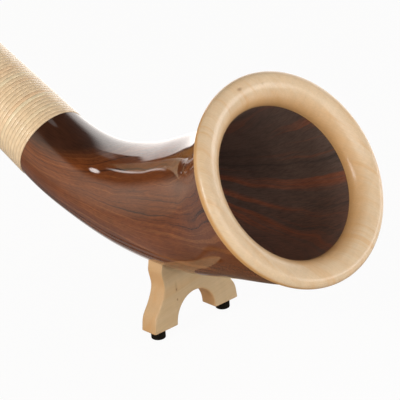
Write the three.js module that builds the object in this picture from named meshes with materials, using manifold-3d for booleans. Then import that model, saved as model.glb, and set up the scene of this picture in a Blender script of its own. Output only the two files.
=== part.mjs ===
// An alphorn in playing pose: a long straight tube in three sections, wound with cane,
// that ends in an upturned walnut bell with a maple rim, standing on a maple foot.
// Millimetres, +Z up, floor at z = 0. +X points the way the bell faces, and the horn's
// plane of symmetry is y = 0. Left is +Y, as the player looks towards the bell.
// The hardest feature is the bell: two carved halves, swept along a bend that turns from
// the sloping tube to the rising mouth while both the outside and the bore swell.
import * as THREE from "three";
import { mergeVertices } from "three/addons/utils/BufferGeometryUtils.js";
import Module from "manifold-3d";

const wasm = await Module();
wasm.setup();

// Gaps: between glued or seated pieces, round the sliding tenons, and round the O-rings
const glueGap = 0.3;
const slideGap = 0.35;
const oRingGap = 0.1;

// Course of the horn's axis in its plane of symmetry, measured from the middle of the foot
const tubeSlope = 25.2;
const mouthTilt = 32.6;
const mouthReach = 192;
const mouthHeight = 242.6;
const bendReach = 246.8;
const bendHeight = 179.7;
const bendTubeHandle = 146;
const bendMouthHandle = 133;

// Straight tube: the lengths of its three sections from the bend to the player's end, its
// wall and its bore
const bellTubeLength = 900;
const middleTubeLength = 1000;
const handTubeLength = 980;
const tubeWall = 7;
const boreBendRadius = 43;
const boreTopRadius = 6.5;
const boreTaperShare = 1.57;

// Bell: radii where the bend starts and at the rim, with the swelling between them
const bellStartRadius = 51.8;
const bellEndRadius = 123.5;
const bellOuterShares = [0, 0.073, 0.244, 0.444, 0.618, 1];
const bellBoreRadius = 93.3;
const bellBoreShares = [0, 0.11, 0.34, 0.58, 0.79, 1];

// Neck of the bell under the cane, and the tube's spigot inside it
const neckLength = 60;
const neckSocketDepth = 40;
const neckSpigotWall = 3;

// Rim ring: a rounded bead round the mouth, let into the bell by a short spigot
const rimRadius = 130;
const rimBackDepth = 9.6;
const rimBoreDepth = 15.2;
const rimBackRadius = 124.6;
const rimCrestRadius = 120;
const rimCrestHeight = 8.5;
const rimSpigotWall = 11.4;

// Cane winding: the strand and its pitch, and the turns next to the bell wound singly
const canePitch = 5.7;
const caneThickness = 2.6;
const caneTurnGap = 0.5;
const caneTurns = 22;
const caneAcrossShares = [-1, -0.95, -0.5, 0.5, 0.95, 1];
const caneHeightShares = [0, 0.55, 1, 1, 0.55, 0];

// Section joints: the brass sleeves that make them
const tenonReach = 60;
const sleeveSeat = 30;
const spigotWall = 2.4;
const tenonWall = 3;
const socketWall = 1.5;
const beadHeight = 1;
const beadLength = 4;
const leadChamfer = 0.8;
const oRingRadius = 1;
const oRingPlaceShares = [0.3, 0.7];

// Receiver for the mouthpiece at the player's end
const receiverDepth = 50;
const receiverWall = 2;
const receiverFlange = 4;
const receiverEdge = 1;

// Mouthpiece: a tapered shank, a stem, and a cup with a rounded rim
const shankDepth = 36;
const shankTipRadius = 5.8;
const shankMouthRadius = 7;
const shankTipBoreRadius = 4.6;
const throatRadius = 3.4;
const stemLength = 12;
const stemRadius = 8.2;
const mouthpieceReach = 52;
const mouthpieceRadius = 14.8;
const mouthpieceEdge = 3;
const cupRadius = 9.2;
const cupDepth = 24;

// Foot: a board across the horn, with a saddle, a waist, two legs and an arch between them
const footThickness = 25.4;
const footUnderside = 12.2;
const footHalfWidth = 70.7;
const archHalfWidth = 31.5;
const archHeight = 35.6;
const saddleHalfWidth = 50.5;
const footEdge = 1.2;
const footWidthShares = [1, 0.957, 0.809, 0.71, 0.752];
const footHeightShares = [0, 0.2, 0.4, 0.62, 0.87];

// Dowels that hold the foot to the bell
const dowelRadius = 4;
const dowelHalfSpacing = 28;
const dowelInBell = 5;
const dowelInFoot = 16;

// Rubber feet and the screws that hold them
const rubberRadius = 9.1;
const rubberHalfSpacing = 54.95;
const rubberEdge = 1.2;
const screwRadius = 2;
const screwHeadRadius = 4.2;
const screwHeadHeight = 2.6;
const screwRecess = 5;
const screwInFoot = 17;
const screwTip = 3;

// Overrun of a cutting form past the face that it cuts
const overrun = 2;

// How finely the round forms are divided
const aroundBell = 40;
const aroundTube = 24;
const aroundSmall = 16;
const bellStations = 16;
const bellBoreStations = 10;
const tubeStations = 3;
const footCurveSteps = 4;
const rimSteps = 4;
const mouthpieceSteps = 3;
const oRingSides = 5;
const surfaceSamples = 400;

// Heights of the joints and of the player's end up the tube
const lowerJointHeight = bellTubeLength;
const upperJointHeight = lowerJointHeight + middleTubeLength;
const tubeLength = upperJointHeight + handTubeLength;

// Directions: up the tube towards the player, out of the mouth, and straight up
const radians = THREE.MathUtils.degToRad;
const upTube = new THREE.Vector3(-Math.cos(radians(tubeSlope)), 0, Math.sin(radians(tubeSlope)));
const outOfMouth = new THREE.Vector3(Math.cos(radians(mouthTilt)), 0, Math.sin(radians(mouthTilt)));
const straightUp = new THREE.Vector3(0, 0, 1);

// The bend is one cubic curve, from the end of the tube to the rim ring's seat
const rimSeat = rimBoreDepth - rimBackDepth + glueGap;
const mouthCentre = new THREE.Vector3(mouthReach, 0, mouthHeight);
const bendStart = new THREE.Vector3(-bendReach, 0, bendHeight);
const bendEnd = mouthCentre.clone().addScaledVector(outOfMouth, -rimBackDepth - rimSeat);
const bend = new THREE.CubicBezierCurve3(
  bendStart,
  bendStart.clone().addScaledVector(upTube, -bendTubeHandle),
  bendEnd.clone().addScaledVector(outOfMouth, -bendMouthHandle),
  bendEnd,
);
const bendLength = bend.getLength();
const bellLength = bendLength + rimSeat;

// A direction turned by a quarter within the plane of symmetry
function quarterTurned(direction) {
  return new THREE.Vector3(-direction.z, 0, direction.x);
}

// Point and top direction of the axis at a distance from the bend's start: negative
// distances run up the tube, and those past the bend's length run straight to the mouth
function axisAt(along) {
  if (along <= 0) {
    const point = bendStart.clone().addScaledVector(upTube, -along);
    return { point, top: quarterTurned(upTube).negate() };
  }
  if (along >= bendLength) {
    const point = bendEnd.clone().addScaledVector(outOfMouth, along - bendLength);
    return { point, top: quarterTurned(outOfMouth) };
  }
  const share = along / bendLength;
  return { point: bend.getPointAt(share), top: quarterTurned(bend.getTangentAt(share)) };
}

// Smooth curve through evenly spaced shares, whose slope at each comes from its neighbours
function smoothShare(shares, position) {
  const last = shares.length - 1;
  const index = THREE.MathUtils.clamp(Math.floor(position * last), 0, last - 1);
  const t = position * last - index;
  const slope = (i) => {
    const before = Math.max(i - 1, 0);
    const after = Math.min(i + 1, last);
    return (shares[after] - shares[before]) / (after - before);
  };
  const rise = shares[index + 1] - shares[index];
  const bulge = (1 - t) * (slope(index) - rise) + t * (rise - slope(index + 1));
  return shares[index] + t * rise + t * (1 - t) * bulge;
}

// Radii of the bell at a distance along it
function bellOuter(along) {
  const share = smoothShare(bellOuterShares, along / bellLength);
  return bellStartRadius + (bellEndRadius - bellStartRadius) * share;
}

function bellBore(along) {
  const share = smoothShare(bellBoreShares, along / bendLength);
  return boreBendRadius + (bellBoreRadius - boreBendRadius) * share;
}

// Radii of the straight tube at a height up it
function tubeBore(height) {
  const taper = Math.pow(1 - height / tubeLength, boreTaperShare);
  return boreTopRadius + (boreBendRadius - boreTopRadius) * taper;
}

function tubeOuter(height) {
  return tubeBore(height) + tubeWall;
}

function caneInner(height) {
  return tubeOuter(height) + glueGap;
}

// Height of the bell's underside above the foot's middle, at a distance to the side
function bellUnderside(aside) {
  const spots = spaced(0, bendLength, surfaceSamples).map((along) => {
    const { point, top } = axisAt(along);
    const drop = Math.sqrt(Math.max(bellOuter(along) ** 2 - aside ** 2, 0));
    return point.addScaledVector(top, -drop);
  });
  return spots.reduce((a, b) => (Math.abs(b.x) < Math.abs(a.x) ? b : a)).z;
}

// Evenly spaced values from one to another, both included
function spaced(from, to, steps) {
  return Array.from({ length: steps + 1 }, (_, i) => from + ((to - from) * i) / steps);
}

// Points of a quarter of an ellipse between two points of an outline, without the first.
// It leaves the first point across the outline, or up it, and meets the second squarely.
function quarter(from, to, acrossFirst, steps) {
  return spaced(0, Math.PI / 2, steps).slice(1).map((angle) => {
    const eager = Math.sin(angle);
    const late = 1 - Math.cos(angle);
    const [across, up] = acrossFirst ? [eager, late] : [late, eager];
    return [from[0] + (to[0] - from[0]) * across, from[1] + (to[1] - from[1]) * up];
  });
}

function meshGeometry(points, indices) {
  const geometry = new THREE.BufferGeometry();
  const places = points.flatMap((point) => point.toArray());
  geometry.setAttribute("position", new THREE.Float32BufferAttribute(places, 3));
  geometry.setIndex(indices);
  return geometry;
}

// A turned piece: the outline is a list of [radius, height], up its outside first
function turned(outline, around) {
  const closed = outline[0][0] > 0 ? [...outline, outline[0]] : outline;
  const profile = closed.map(([radius, height]) => new THREE.Vector2(radius, height));
  return new THREE.LatheGeometry(profile, around);
}

// Half of a hollow shell round the horn's axis, on one side of the plane of symmetry. The
// outline is a closed loop of [distance along the axis, radius], down its outside first.
function halfShell(outline, side, around) {
  const count = outline.length;
  const steps = around / 2;
  const points = [];
  const indices = [];
  const addFace = (a, b, c) => indices.push(...(side > 0 ? [a, b, c] : [a, c, b]));
  for (const turn of spaced(0, Math.PI, steps)) {
    for (const [along, radius] of outline) {
      const { point, top } = axisAt(along);
      point.addScaledVector(top, radius * Math.cos(turn));
      point.y = side * Math.max(radius * Math.sin(turn), glueGap / 2);
      points.push(point);
    }
  }
  for (let j = 0; j < steps; j += 1) {
    for (let i = 0; i < count; i += 1) {
      const a = j * count + i;
      const b = j * count + ((i + 1) % count);
      addFace(a, b, b + count);
      addFace(a, b + count, a + count);
    }
  }
  for (const first of [0, steps * count]) {
    const flat = points.slice(first, first + count).map((point) => new THREE.Vector2(point.x, point.z));
    for (const [a, b, c] of THREE.ShapeUtils.triangulateShape(flat, [])) {
      const area = flat[b].clone().sub(flat[a]).cross(flat[c].clone().sub(flat[a]));
      const face = area > 0 === side > 0 ? [a, b, c] : [a, c, b];
      indices.push(...face.map((index) => first + index));
    }
  }
  return meshGeometry(points, indices);
}

// A solid form of the bell's outside, grown by a gap, for cutting what seats on it
function bellForm(gap) {
  const stations = spaced(0, bendLength, bellStations);
  const points = [];
  const indices = [];
  for (const along of stations) {
    const { point, top } = axisAt(along);
    for (let j = 0; j < aroundBell; j += 1) {
      const turn = (2 * Math.PI * j) / aroundBell;
      const place = point.clone().addScaledVector(top, (bellOuter(along) + gap) * Math.cos(turn));
      place.y = (bellOuter(along) + gap) * Math.sin(turn);
      points.push(place);
    }
  }
  const lastRing = bellStations * aroundBell;
  const startPole = points.push(axisAt(0).point) - 1;
  const endPole = points.push(axisAt(bendLength).point) - 1;
  for (let j = 0; j < aroundBell; j += 1) {
    const next = (j + 1) % aroundBell;
    for (let i = 0; i < bellStations; i += 1) {
      const a = i * aroundBell + j;
      const b = i * aroundBell + next;
      indices.push(a, a + aroundBell, b + aroundBell, a, b + aroundBell, b);
    }
    indices.push(startPole, j, next);
    indices.push(endPole, lastRing + next, lastRing + j);
  }
  return meshGeometry(points, indices);
}

// Boolean work: a closed geometry becomes a solid, and comes back as a geometry
function solidOf(geometry) {
  const bare = geometry.clone();
  bare.deleteAttribute("normal");
  bare.deleteAttribute("uv");
  const merged = mergeVertices(bare);
  const vertProperties = new Float32Array(merged.attributes.position.array);
  const triVerts = new Uint32Array(merged.index.array);
  return new wasm.Manifold(new wasm.Mesh({ numProp: 3, vertProperties, triVerts }));
}

function cut(geometry, ...tools) {
  const rest = tools.reduce((solid, tool) => solid.subtract(solidOf(tool)), solidOf(geometry));
  const result = rest.getMesh();
  const left = new THREE.BufferGeometry();
  left.setAttribute("position", new THREE.Float32BufferAttribute(result.vertProperties, 3));
  left.setIndex(Array.from(result.triVerts));
  return left;
}

// An upright round pin between two heights, for a dowel or the hole for one
function uprightPin(radius, aside, bottom, top) {
  const pin = new THREE.CylinderGeometry(radius, radius, top - bottom, aroundSmall);
  return pin.rotateX(Math.PI / 2).translate(0, aside, (top + bottom) / 2);
}

// Finishes
const finishes = {
  walnut: new THREE.MeshStandardMaterial({ color: 0x6b4331, roughness: 0.25, metalness: 0 }),
  maple: new THREE.MeshStandardMaterial({ color: 0xdec294, roughness: 0.4, metalness: 0 }),
  spruce: new THREE.MeshStandardMaterial({ color: 0xd9b884, roughness: 0.5, metalness: 0 }),
  cane: new THREE.MeshStandardMaterial({ color: 0xdfc799, roughness: 0.45, metalness: 0 }),
  brass: new THREE.MeshStandardMaterial({ color: 0xc9a24a, roughness: 0.3, metalness: 1 }),
  rubber: new THREE.MeshStandardMaterial({ color: 0x161616, roughness: 0.7, metalness: 0 }),
  steel: new THREE.MeshStandardMaterial({ color: 0xa9abad, roughness: 0.35, metalness: 1 }),
  boxwood: new THREE.MeshStandardMaterial({ color: 0xc98f4e, roughness: 0.35, metalness: 0 }),
};

const horn = new THREE.Group();

function addPiece(name, geometry, finish, parent = horn) {
  const piece = new THREE.Mesh(geometry, finishes[finish]);
  piece.name = name;
  parent.add(piece);
}

// A group whose own +Y axis runs from an origin in a direction of the plane of symmetry
function addAxisGroup(origin, direction) {
  const group = new THREE.Group();
  const front = quarterTurned(direction);
  const basis = new THREE.Matrix4().makeBasis(direction.clone().cross(front), direction, front);
  group.quaternion.setFromRotationMatrix(basis);
  group.position.copy(origin);
  horn.add(group);
  return group;
}

const tubeAxis = addAxisGroup(bendStart, upTube);
const mouthAxis = addAxisGroup(mouthCentre, outOfMouth);
const sides = { left: 1, right: -1 };

// Bell: two walnut halves, with a neck for the tube and a seat for the rim ring. Each
// half has a blind hole for the dowel from the foot.
const neckSpigotRadius = tubeBore(neckLength - neckSocketDepth) + neckSpigotWall;
const neckFlatsShare = Math.cos(Math.PI / aroundTube);
const rimSpigotRadius = bellBoreRadius + rimSpigotWall;
const bellOutline = [
  [-neckLength, tubeOuter(neckLength) * neckFlatsShare],
  [0, tubeOuter(0) * neckFlatsShare],
  ...spaced(0, bellLength, bellStations).map((along) => [along, bellOuter(along)]),
  [bellLength, rimSpigotRadius + glueGap],
  [bendLength, rimSpigotRadius + glueGap],
  ...spaced(bendLength, 0, bellBoreStations).map((along) => [along, bellBore(along)]),
  [neckSocketDepth - neckLength, tubeBore(neckLength - neckSocketDepth)],
  [neckSocketDepth - neckLength, neckSpigotRadius + glueGap],
  [-neckLength, neckSpigotRadius + glueGap],
];
const dowelSeat = bellUnderside(dowelHalfSpacing);
for (const [name, side] of Object.entries(sides)) {
  const aside = side * dowelHalfSpacing;
  const hole = uprightPin(dowelRadius + glueGap, aside, 0, dowelSeat + dowelInBell + glueGap);
  addPiece(`bell_${name}_half`, cut(halfShell(bellOutline, side, aroundBell), hole), "walnut");
  const dowel = uprightPin(dowelRadius, aside, dowelSeat - dowelInFoot, dowelSeat + dowelInBell);
  addPiece(`foot_dowel_${name}`, dowel, "maple");
}

// Rim ring: its back, its outer edge, its crest, and the flank down to the bore
const rimBack = [rimBackRadius, glueGap - rimBackDepth];
const rimEdge = [rimRadius, 0];
const rimCrest = [rimCrestRadius, rimCrestHeight];
const rimBore = [bellBoreRadius, -rimBoreDepth];
const rimOutline = [
  [rimSpigotRadius, -rimBoreDepth],
  [rimSpigotRadius, glueGap - rimBackDepth],
  rimBack,
  ...quarter(rimBack, rimEdge, true, rimSteps),
  ...quarter(rimEdge, rimCrest, false, rimSteps),
  ...quarter(rimCrest, rimBore, true, rimSteps),
];
addPiece("rim_ring", turned(rimOutline, aroundBell), "maple", mouthAxis);

// Foot: the board is drawn across the horn, cut by the bell, and bored for its fastenings
const saddleTop = bellUnderside(saddleHalfWidth);
const legSide = footWidthShares.map((share, i) => {
  const height = footUnderside + (saddleTop - footUnderside) * footHeightShares[i];
  return new THREE.Vector2(footHalfWidth * share, height);
});
legSide.push(new THREE.Vector2(saddleHalfWidth, saddleTop));
const mirrored = legSide.map((point) => new THREE.Vector2(-point.x, point.y)).reverse();
const footShape = new THREE.Shape();
footShape.moveTo(archHalfWidth, footUnderside);
footShape.lineTo(legSide[0].x, legSide[0].y);
footShape.splineThru(legSide.slice(1));
footShape.lineTo(mirrored[0].x, mirrored[0].y);
footShape.splineThru(mirrored.slice(1));
footShape.lineTo(-archHalfWidth, footUnderside);
footShape.absellipse(0, footUnderside, archHalfWidth, archHeight, Math.PI, 0, true);
const board = new THREE.ExtrudeGeometry(footShape, {
  depth: footThickness - 2 * footEdge,
  bevelThickness: footEdge,
  bevelSize: footEdge,
  bevelOffset: -footEdge,
  bevelSegments: 1,
  curveSegments: footCurveSteps,
});
const alongHorn = new THREE.Vector3(1, 0, 0);
const acrossHorn = new THREE.Vector3(0, 1, 0);
board.translate(0, 0, footEdge - footThickness / 2);
board.applyMatrix4(new THREE.Matrix4().makeBasis(acrossHorn, straightUp, alongHorn));
const fastenings = Object.values(sides).flatMap((side) => [
  uprightPin(
    dowelRadius + glueGap,
    side * dowelHalfSpacing,
    dowelSeat - dowelInFoot - glueGap,
    dowelSeat + overrun,
  ),
  uprightPin(
    screwRadius + glueGap,
    side * rubberHalfSpacing,
    footUnderside - overrun,
    footUnderside + screwInFoot + glueGap,
  ),
]);
addPiece("foot_block", cut(board, bellForm(glueGap), ...fastenings), "maple");

// Rubber feet, each recessed for the head of its screw
const rubberTop = footUnderside - glueGap;
const recessRadius = screwHeadRadius + glueGap;
const rubberOutline = [
  [recessRadius, 0],
  [rubberRadius - rubberEdge, 0],
  [rubberRadius, rubberEdge],
  [rubberRadius, rubberTop],
  [screwRadius + glueGap, rubberTop],
  [screwRadius + glueGap, screwRecess],
  [recessRadius, screwRecess],
];
const headTop = screwRecess - glueGap;
const screwOutline = [
  [0, headTop - screwHeadHeight],
  [screwHeadRadius, headTop - screwHeadHeight],
  [screwHeadRadius, headTop],
  [screwRadius, headTop],
  [screwRadius, footUnderside + screwInFoot - screwTip],
  [0, footUnderside + screwInFoot],
];
for (const [name, side] of Object.entries(sides)) {
  const under = addAxisGroup(new THREE.Vector3(0, side * rubberHalfSpacing, 0), straightUp);
  addPiece(`rubber_foot_${name}`, turned(rubberOutline, aroundSmall), "rubber", under);
  addPiece(`foot_screw_${name}`, turned(screwOutline, aroundSmall), "steel", under);
}

// Sizes of the brass sleeves at a joint, from the bore there outwards
function jointSizes(height) {
  const tip = height - tenonReach;
  const spigotRadius = tubeBore(tip) + spigotWall;
  const tenonInner = spigotRadius + glueGap;
  const tenonOuter = tenonInner + tenonWall;
  const socketInner = tenonOuter + slideGap;
  const socketOuter = socketInner + socketWall;
  return { height, tip, spigotRadius, tenonInner, tenonOuter, socketInner, socketOuter };
}

const lowerJoint = jointSizes(lowerJointHeight);
const upperJoint = jointSizes(upperJointHeight);

// A socket: a sleeve over the lower tube's end, with a bead round its mouth
function socketOutline(joint) {
  const bottom = joint.tip - sleeveSeat;
  const mouth = joint.height - glueGap;
  return [
    [joint.socketInner, bottom],
    [joint.socketOuter, bottom],
    [joint.socketOuter, mouth - beadLength],
    [joint.socketOuter + beadHeight, mouth - beadLength + beadHeight],
    [joint.socketOuter + beadHeight, mouth - beadHeight],
    [joint.socketOuter, mouth],
    [joint.socketInner + leadChamfer, mouth],
    [joint.socketInner, mouth - leadChamfer],
  ];
}

// Radius of the floor of an O-ring groove, and the heights of a joint's two grooves
function grooveFloor(joint) {
  return joint.socketInner - oRingGap - 2 * oRingRadius - glueGap;
}

function grooveHeights(joint) {
  return oRingPlaceShares.map((share) => joint.tip + tenonReach * share);
}

// A tenon: a sleeve over the upper tube's spigot, with two grooves, a stop bead that
// meets the socket's mouth, and a seat up to the tube's shoulder
function tenonOutline(joint) {
  const halfGroove = oRingRadius + glueGap;
  const grooves = grooveHeights(joint).flatMap((middle) => [
    [joint.tenonOuter, middle - halfGroove],
    [grooveFloor(joint), middle - halfGroove],
    [grooveFloor(joint), middle + halfGroove],
    [joint.tenonOuter, middle + halfGroove],
  ]);
  const seatTop = joint.height + sleeveSeat;
  return [
    [joint.tenonInner, joint.tip],
    [joint.tenonOuter - leadChamfer, joint.tip],
    [joint.tenonOuter, joint.tip + leadChamfer],
    ...grooves,
    [joint.tenonOuter, joint.height],
    [joint.socketOuter, joint.height],
    [joint.socketOuter + beadHeight, joint.height + beadHeight],
    [joint.socketOuter + beadHeight, joint.height + beadLength - beadHeight],
    [joint.socketOuter, joint.height + beadLength],
    [joint.socketOuter, seatTop],
    [joint.tenonInner, seatTop],
  ];
}

// An O-ring in its groove
function oRingOutline(joint, middle) {
  const centre = joint.socketInner - oRingGap - oRingRadius;
  return Array.from({ length: oRingSides }, (_, i) => {
    const angle = (2 * Math.PI * (i + 1 / 2)) / oRingSides;
    return [centre + oRingRadius * Math.cos(angle), middle + oRingRadius * Math.sin(angle)];
  });
}

function addSocket(name, joint) {
  addPiece(name, turned(socketOutline(joint), aroundTube), "brass", tubeAxis);
}

function addTenon(name, joint) {
  addPiece(name, turned(tenonOutline(joint), aroundTube), "brass", tubeAxis);
  const [lower, upper] = grooveHeights(joint);
  addPiece(`${name}_o_ring_lower`, turned(oRingOutline(joint, lower), aroundTube), "rubber", tubeAxis);
  addPiece(`${name}_o_ring_upper`, turned(oRingOutline(joint, upper), aroundTube), "rubber", tubeAxis);
}

// The wooden halves of a tube: a body of full radius between two shoulders, with a spigot
// below it and whatever its upper end has
function addTubeHalves(section, tip, spigotRadius, shoulder, upperShoulder, upperEnd) {
  const outline = [
    ...upperEnd.outside,
    ...spaced(upperShoulder, shoulder, tubeStations).map((height) => [-height, tubeOuter(height)]),
    [-shoulder, spigotRadius],
    [-tip, spigotRadius],
    ...spaced(tip, upperEnd.boreTop, tubeStations).map((height) => [-height, tubeBore(height)]),
    ...upperEnd.inside,
  ];
  for (const [name, side] of Object.entries(sides)) {
    addPiece(`${section}_${name}_half`, halfShell(outline, side, aroundTube), "spruce");
  }
}

// Upper end that carries a socket: a spigot inside the socket's seat
function socketEnd(joint) {
  const top = joint.tip - glueGap;
  const seatRadius = joint.socketInner - glueGap;
  const outside = [[-top, seatRadius], [sleeveSeat - joint.tip, seatRadius]];
  return { outside, boreTop: top, inside: [] };
}

// A plain sleeve of cane between two heights
function addCaneSleeve(name, bottom, top) {
  const heights = spaced(bottom, top, tubeStations);
  const outside = heights.map((height) => [caneInner(height) + caneThickness, height]);
  const inside = heights.reverse().map((height) => [caneInner(height), height]);
  addPiece(name, turned([...outside, ...inside], aroundTube), "cane", tubeAxis);
}

// Cane wound turn by turn: one strand, domed outside and flat on the wood, as a helix
// round the tube's axis that starts at a height
function caneWinding(start) {
  const halfWidth = (canePitch - caneTurnGap) / 2;
  const sidesOfStrand = caneAcrossShares.length;
  const steps = caneTurns * aroundTube;
  const points = [];
  const indices = [];
  for (let k = 0; k <= steps; k += 1) {
    const turn = (2 * Math.PI * k) / aroundTube;
    const middle = start + halfWidth + (canePitch * k) / aroundTube;
    caneAcrossShares.forEach((share, i) => {
      const radius = caneInner(middle) + caneThickness * caneHeightShares[i];
      const height = middle + halfWidth * share;
      points.push(new THREE.Vector3(radius * Math.sin(turn), height, radius * Math.cos(turn)));
    });
  }
  for (let k = 0; k < steps; k += 1) {
    for (let i = 0; i < sidesOfStrand; i += 1) {
      const a = k * sidesOfStrand + i;
      const b = k * sidesOfStrand + ((i + 1) % sidesOfStrand);
      indices.push(a, a + sidesOfStrand, b + sidesOfStrand, a, b + sidesOfStrand, b);
    }
  }
  for (let i = 1; i < sidesOfStrand - 1; i += 1) {
    const last = steps * sidesOfStrand;
    indices.push(0, i, i + 1);
    indices.push(last, last + i + 1, last + i);
  }
  return { points, indices, top: start + 2 * halfWidth + canePitch * caneTurns };
}

// Least distance between points of the strand that lie half a turn to a turn and a half apart
function leastGap(points) {
  const turn = caneAcrossShares.length * aroundTube;
  let least = Infinity;
  for (let i = 0; i < points.length; i += 1) {
    const end = Math.min(i + turn * 1.5, points.length);
    for (let j = i + turn / 2; j < end; j += 1) {
      least = Math.min(least, points[i].distanceTo(points[j]));
    }
  }
  return least;
}

// Bell tube: wood inside the bell's neck, the wound turns next to the bell, then a sleeve
const bellTubeTop = lowerJoint.tip - sleeveSeat;
addTubeHalves(
  "bell_tube",
  neckLength - neckSocketDepth + glueGap,
  neckSpigotRadius,
  neckLength + glueGap,
  bellTubeTop,
  socketEnd(lowerJoint),
);
const winding = caneWinding(glueGap);
addPiece("bell_tube_cane_turns", meshGeometry(winding.points, winding.indices), "cane", tubeAxis);
console.log(`least gap between cane turns: ${leastGap(winding.points).toFixed(2)} mm`);
addCaneSleeve("bell_tube_cane", winding.top + caneTurnGap, bellTubeTop);
addSocket("lower_socket", lowerJoint);

// Middle tube
const middleTop = upperJoint.tip - sleeveSeat;
const middleShoulder = lowerJoint.height + sleeveSeat + glueGap;
addTubeHalves(
  "middle_tube",
  lowerJoint.tip,
  lowerJoint.spigotRadius,
  middleShoulder,
  middleTop,
  socketEnd(upperJoint),
);
addCaneSleeve("middle_tube_cane", middleShoulder, middleTop);
addTenon("middle_tenon", lowerJoint);
addSocket("upper_socket", upperJoint);

// Hand tube: its upper end is counterbored for the receiver
const handTop = tubeLength - receiverFlange - glueGap;
const handShoulder = upperJoint.height + sleeveSeat + glueGap;
const receiverRadius = shankMouthRadius + glueGap + receiverWall;
const counterboreFloor = tubeLength - receiverDepth - glueGap;
addTubeHalves("hand_tube", upperJoint.tip, upperJoint.spigotRadius, handShoulder, handTop, {
  outside: [],
  boreTop: counterboreFloor,
  inside: [[-counterboreFloor, receiverRadius + glueGap], [-handTop, receiverRadius + glueGap]],
});
addCaneSleeve("hand_tube_cane", handShoulder, handTop);
addTenon("hand_tenon", upperJoint);

// Receiver: a brass sleeve with a flange, bored to the taper of the mouthpiece's shank
const playerEnd = addAxisGroup(bendStart.clone().addScaledVector(upTube, tubeLength), upTube);
const flangeRadius = caneInner(tubeLength) + caneThickness;
const receiverOutline = [
  [shankTipRadius + glueGap, -receiverDepth],
  [receiverRadius, -receiverDepth],
  [receiverRadius, -receiverFlange],
  [flangeRadius, -receiverFlange],
  [flangeRadius, -receiverEdge],
  [flangeRadius - receiverEdge, 0],
  [shankMouthRadius + glueGap, 0],
  [shankTipRadius + glueGap, -shankDepth],
];
addPiece("mouthpiece_receiver", turned(receiverOutline, aroundTube), "brass", playerEnd);

// Mouthpiece: its shank, stem, swelling body, rounded rim, cup, throat and bore
const rimTop = mouthpieceReach;
const rimOuter = [mouthpieceRadius, rimTop - mouthpieceEdge];
const rimTopEdge = [mouthpieceRadius - mouthpieceEdge, rimTop];
const cupEdge = [cupRadius, rimTop - mouthpieceEdge];
const mouthpieceOutline = [
  [shankTipBoreRadius, -shankDepth],
  [shankTipRadius, -shankDepth],
  [shankMouthRadius, 0],
  [stemRadius, stemLength],
  ...quarter([stemRadius, stemLength], rimOuter, false, mouthpieceSteps),
  ...quarter(rimOuter, rimTopEdge, false, mouthpieceSteps),
  ...quarter(rimTopEdge, cupEdge, true, mouthpieceSteps),
  ...quarter(cupEdge, [throatRadius, rimTop - cupDepth], false, mouthpieceSteps),
];
addPiece("mouthpiece", turned(mouthpieceOutline, aroundTube), "boxwood", playerEnd);

// The origin is on the floor, in the middle of the horn's whole length
horn.updateMatrixWorld(true);
const reach = new THREE.Box3().setFromObject(horn, true);
horn.position.x = -(reach.min.x + reach.max.x) / 2;

export default horn;
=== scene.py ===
"""Visible surfaces and finishes of a cane-wound alphorn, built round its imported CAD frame.

Metres, +Z up, floor at z = 0. +X points the way the bell faces and y = 0 is the horn's
plane of symmetry. Nearly every piece is a body of revolution round one course: the
horn's axis, which runs straight down the tube, round the bend and out of the mouth.
"""

import math
from functools import reduce
from types import SimpleNamespace

import bpy
import numpy as np
from bpy.props import FloatProperty, FloatVectorProperty, PointerProperty
from mathutils import Matrix, Vector


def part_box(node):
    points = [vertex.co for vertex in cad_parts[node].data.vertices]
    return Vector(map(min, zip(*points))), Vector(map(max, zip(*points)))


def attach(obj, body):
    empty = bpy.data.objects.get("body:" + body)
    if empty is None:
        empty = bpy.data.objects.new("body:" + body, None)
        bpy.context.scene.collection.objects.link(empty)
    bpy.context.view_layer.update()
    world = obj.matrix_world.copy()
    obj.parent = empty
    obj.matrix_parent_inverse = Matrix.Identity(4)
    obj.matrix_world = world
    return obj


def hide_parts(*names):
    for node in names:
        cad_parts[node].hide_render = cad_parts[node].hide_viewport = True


bl_info = {
    "name": "Alphorn",
    "version": (1, 0, 0),
    "blender": (4, 5, 0),
    "location": "View3D > Sidebar > Alphorn",
    "description": "Builds the visible surfaces and finishes of a cane-wound alphorn",
    "category": "Add Mesh",
}

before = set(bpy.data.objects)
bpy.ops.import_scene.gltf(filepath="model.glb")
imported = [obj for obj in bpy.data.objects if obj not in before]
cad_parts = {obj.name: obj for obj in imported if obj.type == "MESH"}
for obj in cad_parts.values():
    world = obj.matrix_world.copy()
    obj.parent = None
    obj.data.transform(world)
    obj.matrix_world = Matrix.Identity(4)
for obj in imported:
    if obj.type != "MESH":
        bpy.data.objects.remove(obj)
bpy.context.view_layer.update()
FOOT_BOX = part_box("foot_block")
FOOT_X = (FOOT_BOX[0].x + FOOT_BOX[1].x) / 2

SIDES = (("left", 1), ("right", -1))
SIDEWAYS = np.array([0.0, 1.0, 0.0])

# Swelling of the bell's outside and bore, and the outline of the foot's leg, as shares
BELL_OUTER_SHARES = np.array([0, 0.073, 0.244, 0.444, 0.618, 1])
BELL_BORE_SHARES = np.array([0, 0.11, 0.34, 0.58, 0.79, 1])
LEG_WIDTH_SHARES = np.array([0.752, 0.71, 0.809, 0.957, 1])
LEG_HEIGHT_SHARES = np.array([0.87, 0.62, 0.4, 0.2, 0])

# Section of a cane strand over its dome, as shares of its half width and its thickness
CANE_ACROSS_SHARES = np.array([-1, -0.995, -0.86, -0.5, 0, 0.5, 0.86, 0.995, 1])
CANE_HEIGHT_SHARES = np.array([0, 0.7, 0.86, 0.965, 1, 0.965, 0.86, 0.7, 0])

# O-ring grooves, as shares of a tenon's reach
GROOVE_SHARES = (0.3, 0.7)

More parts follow.
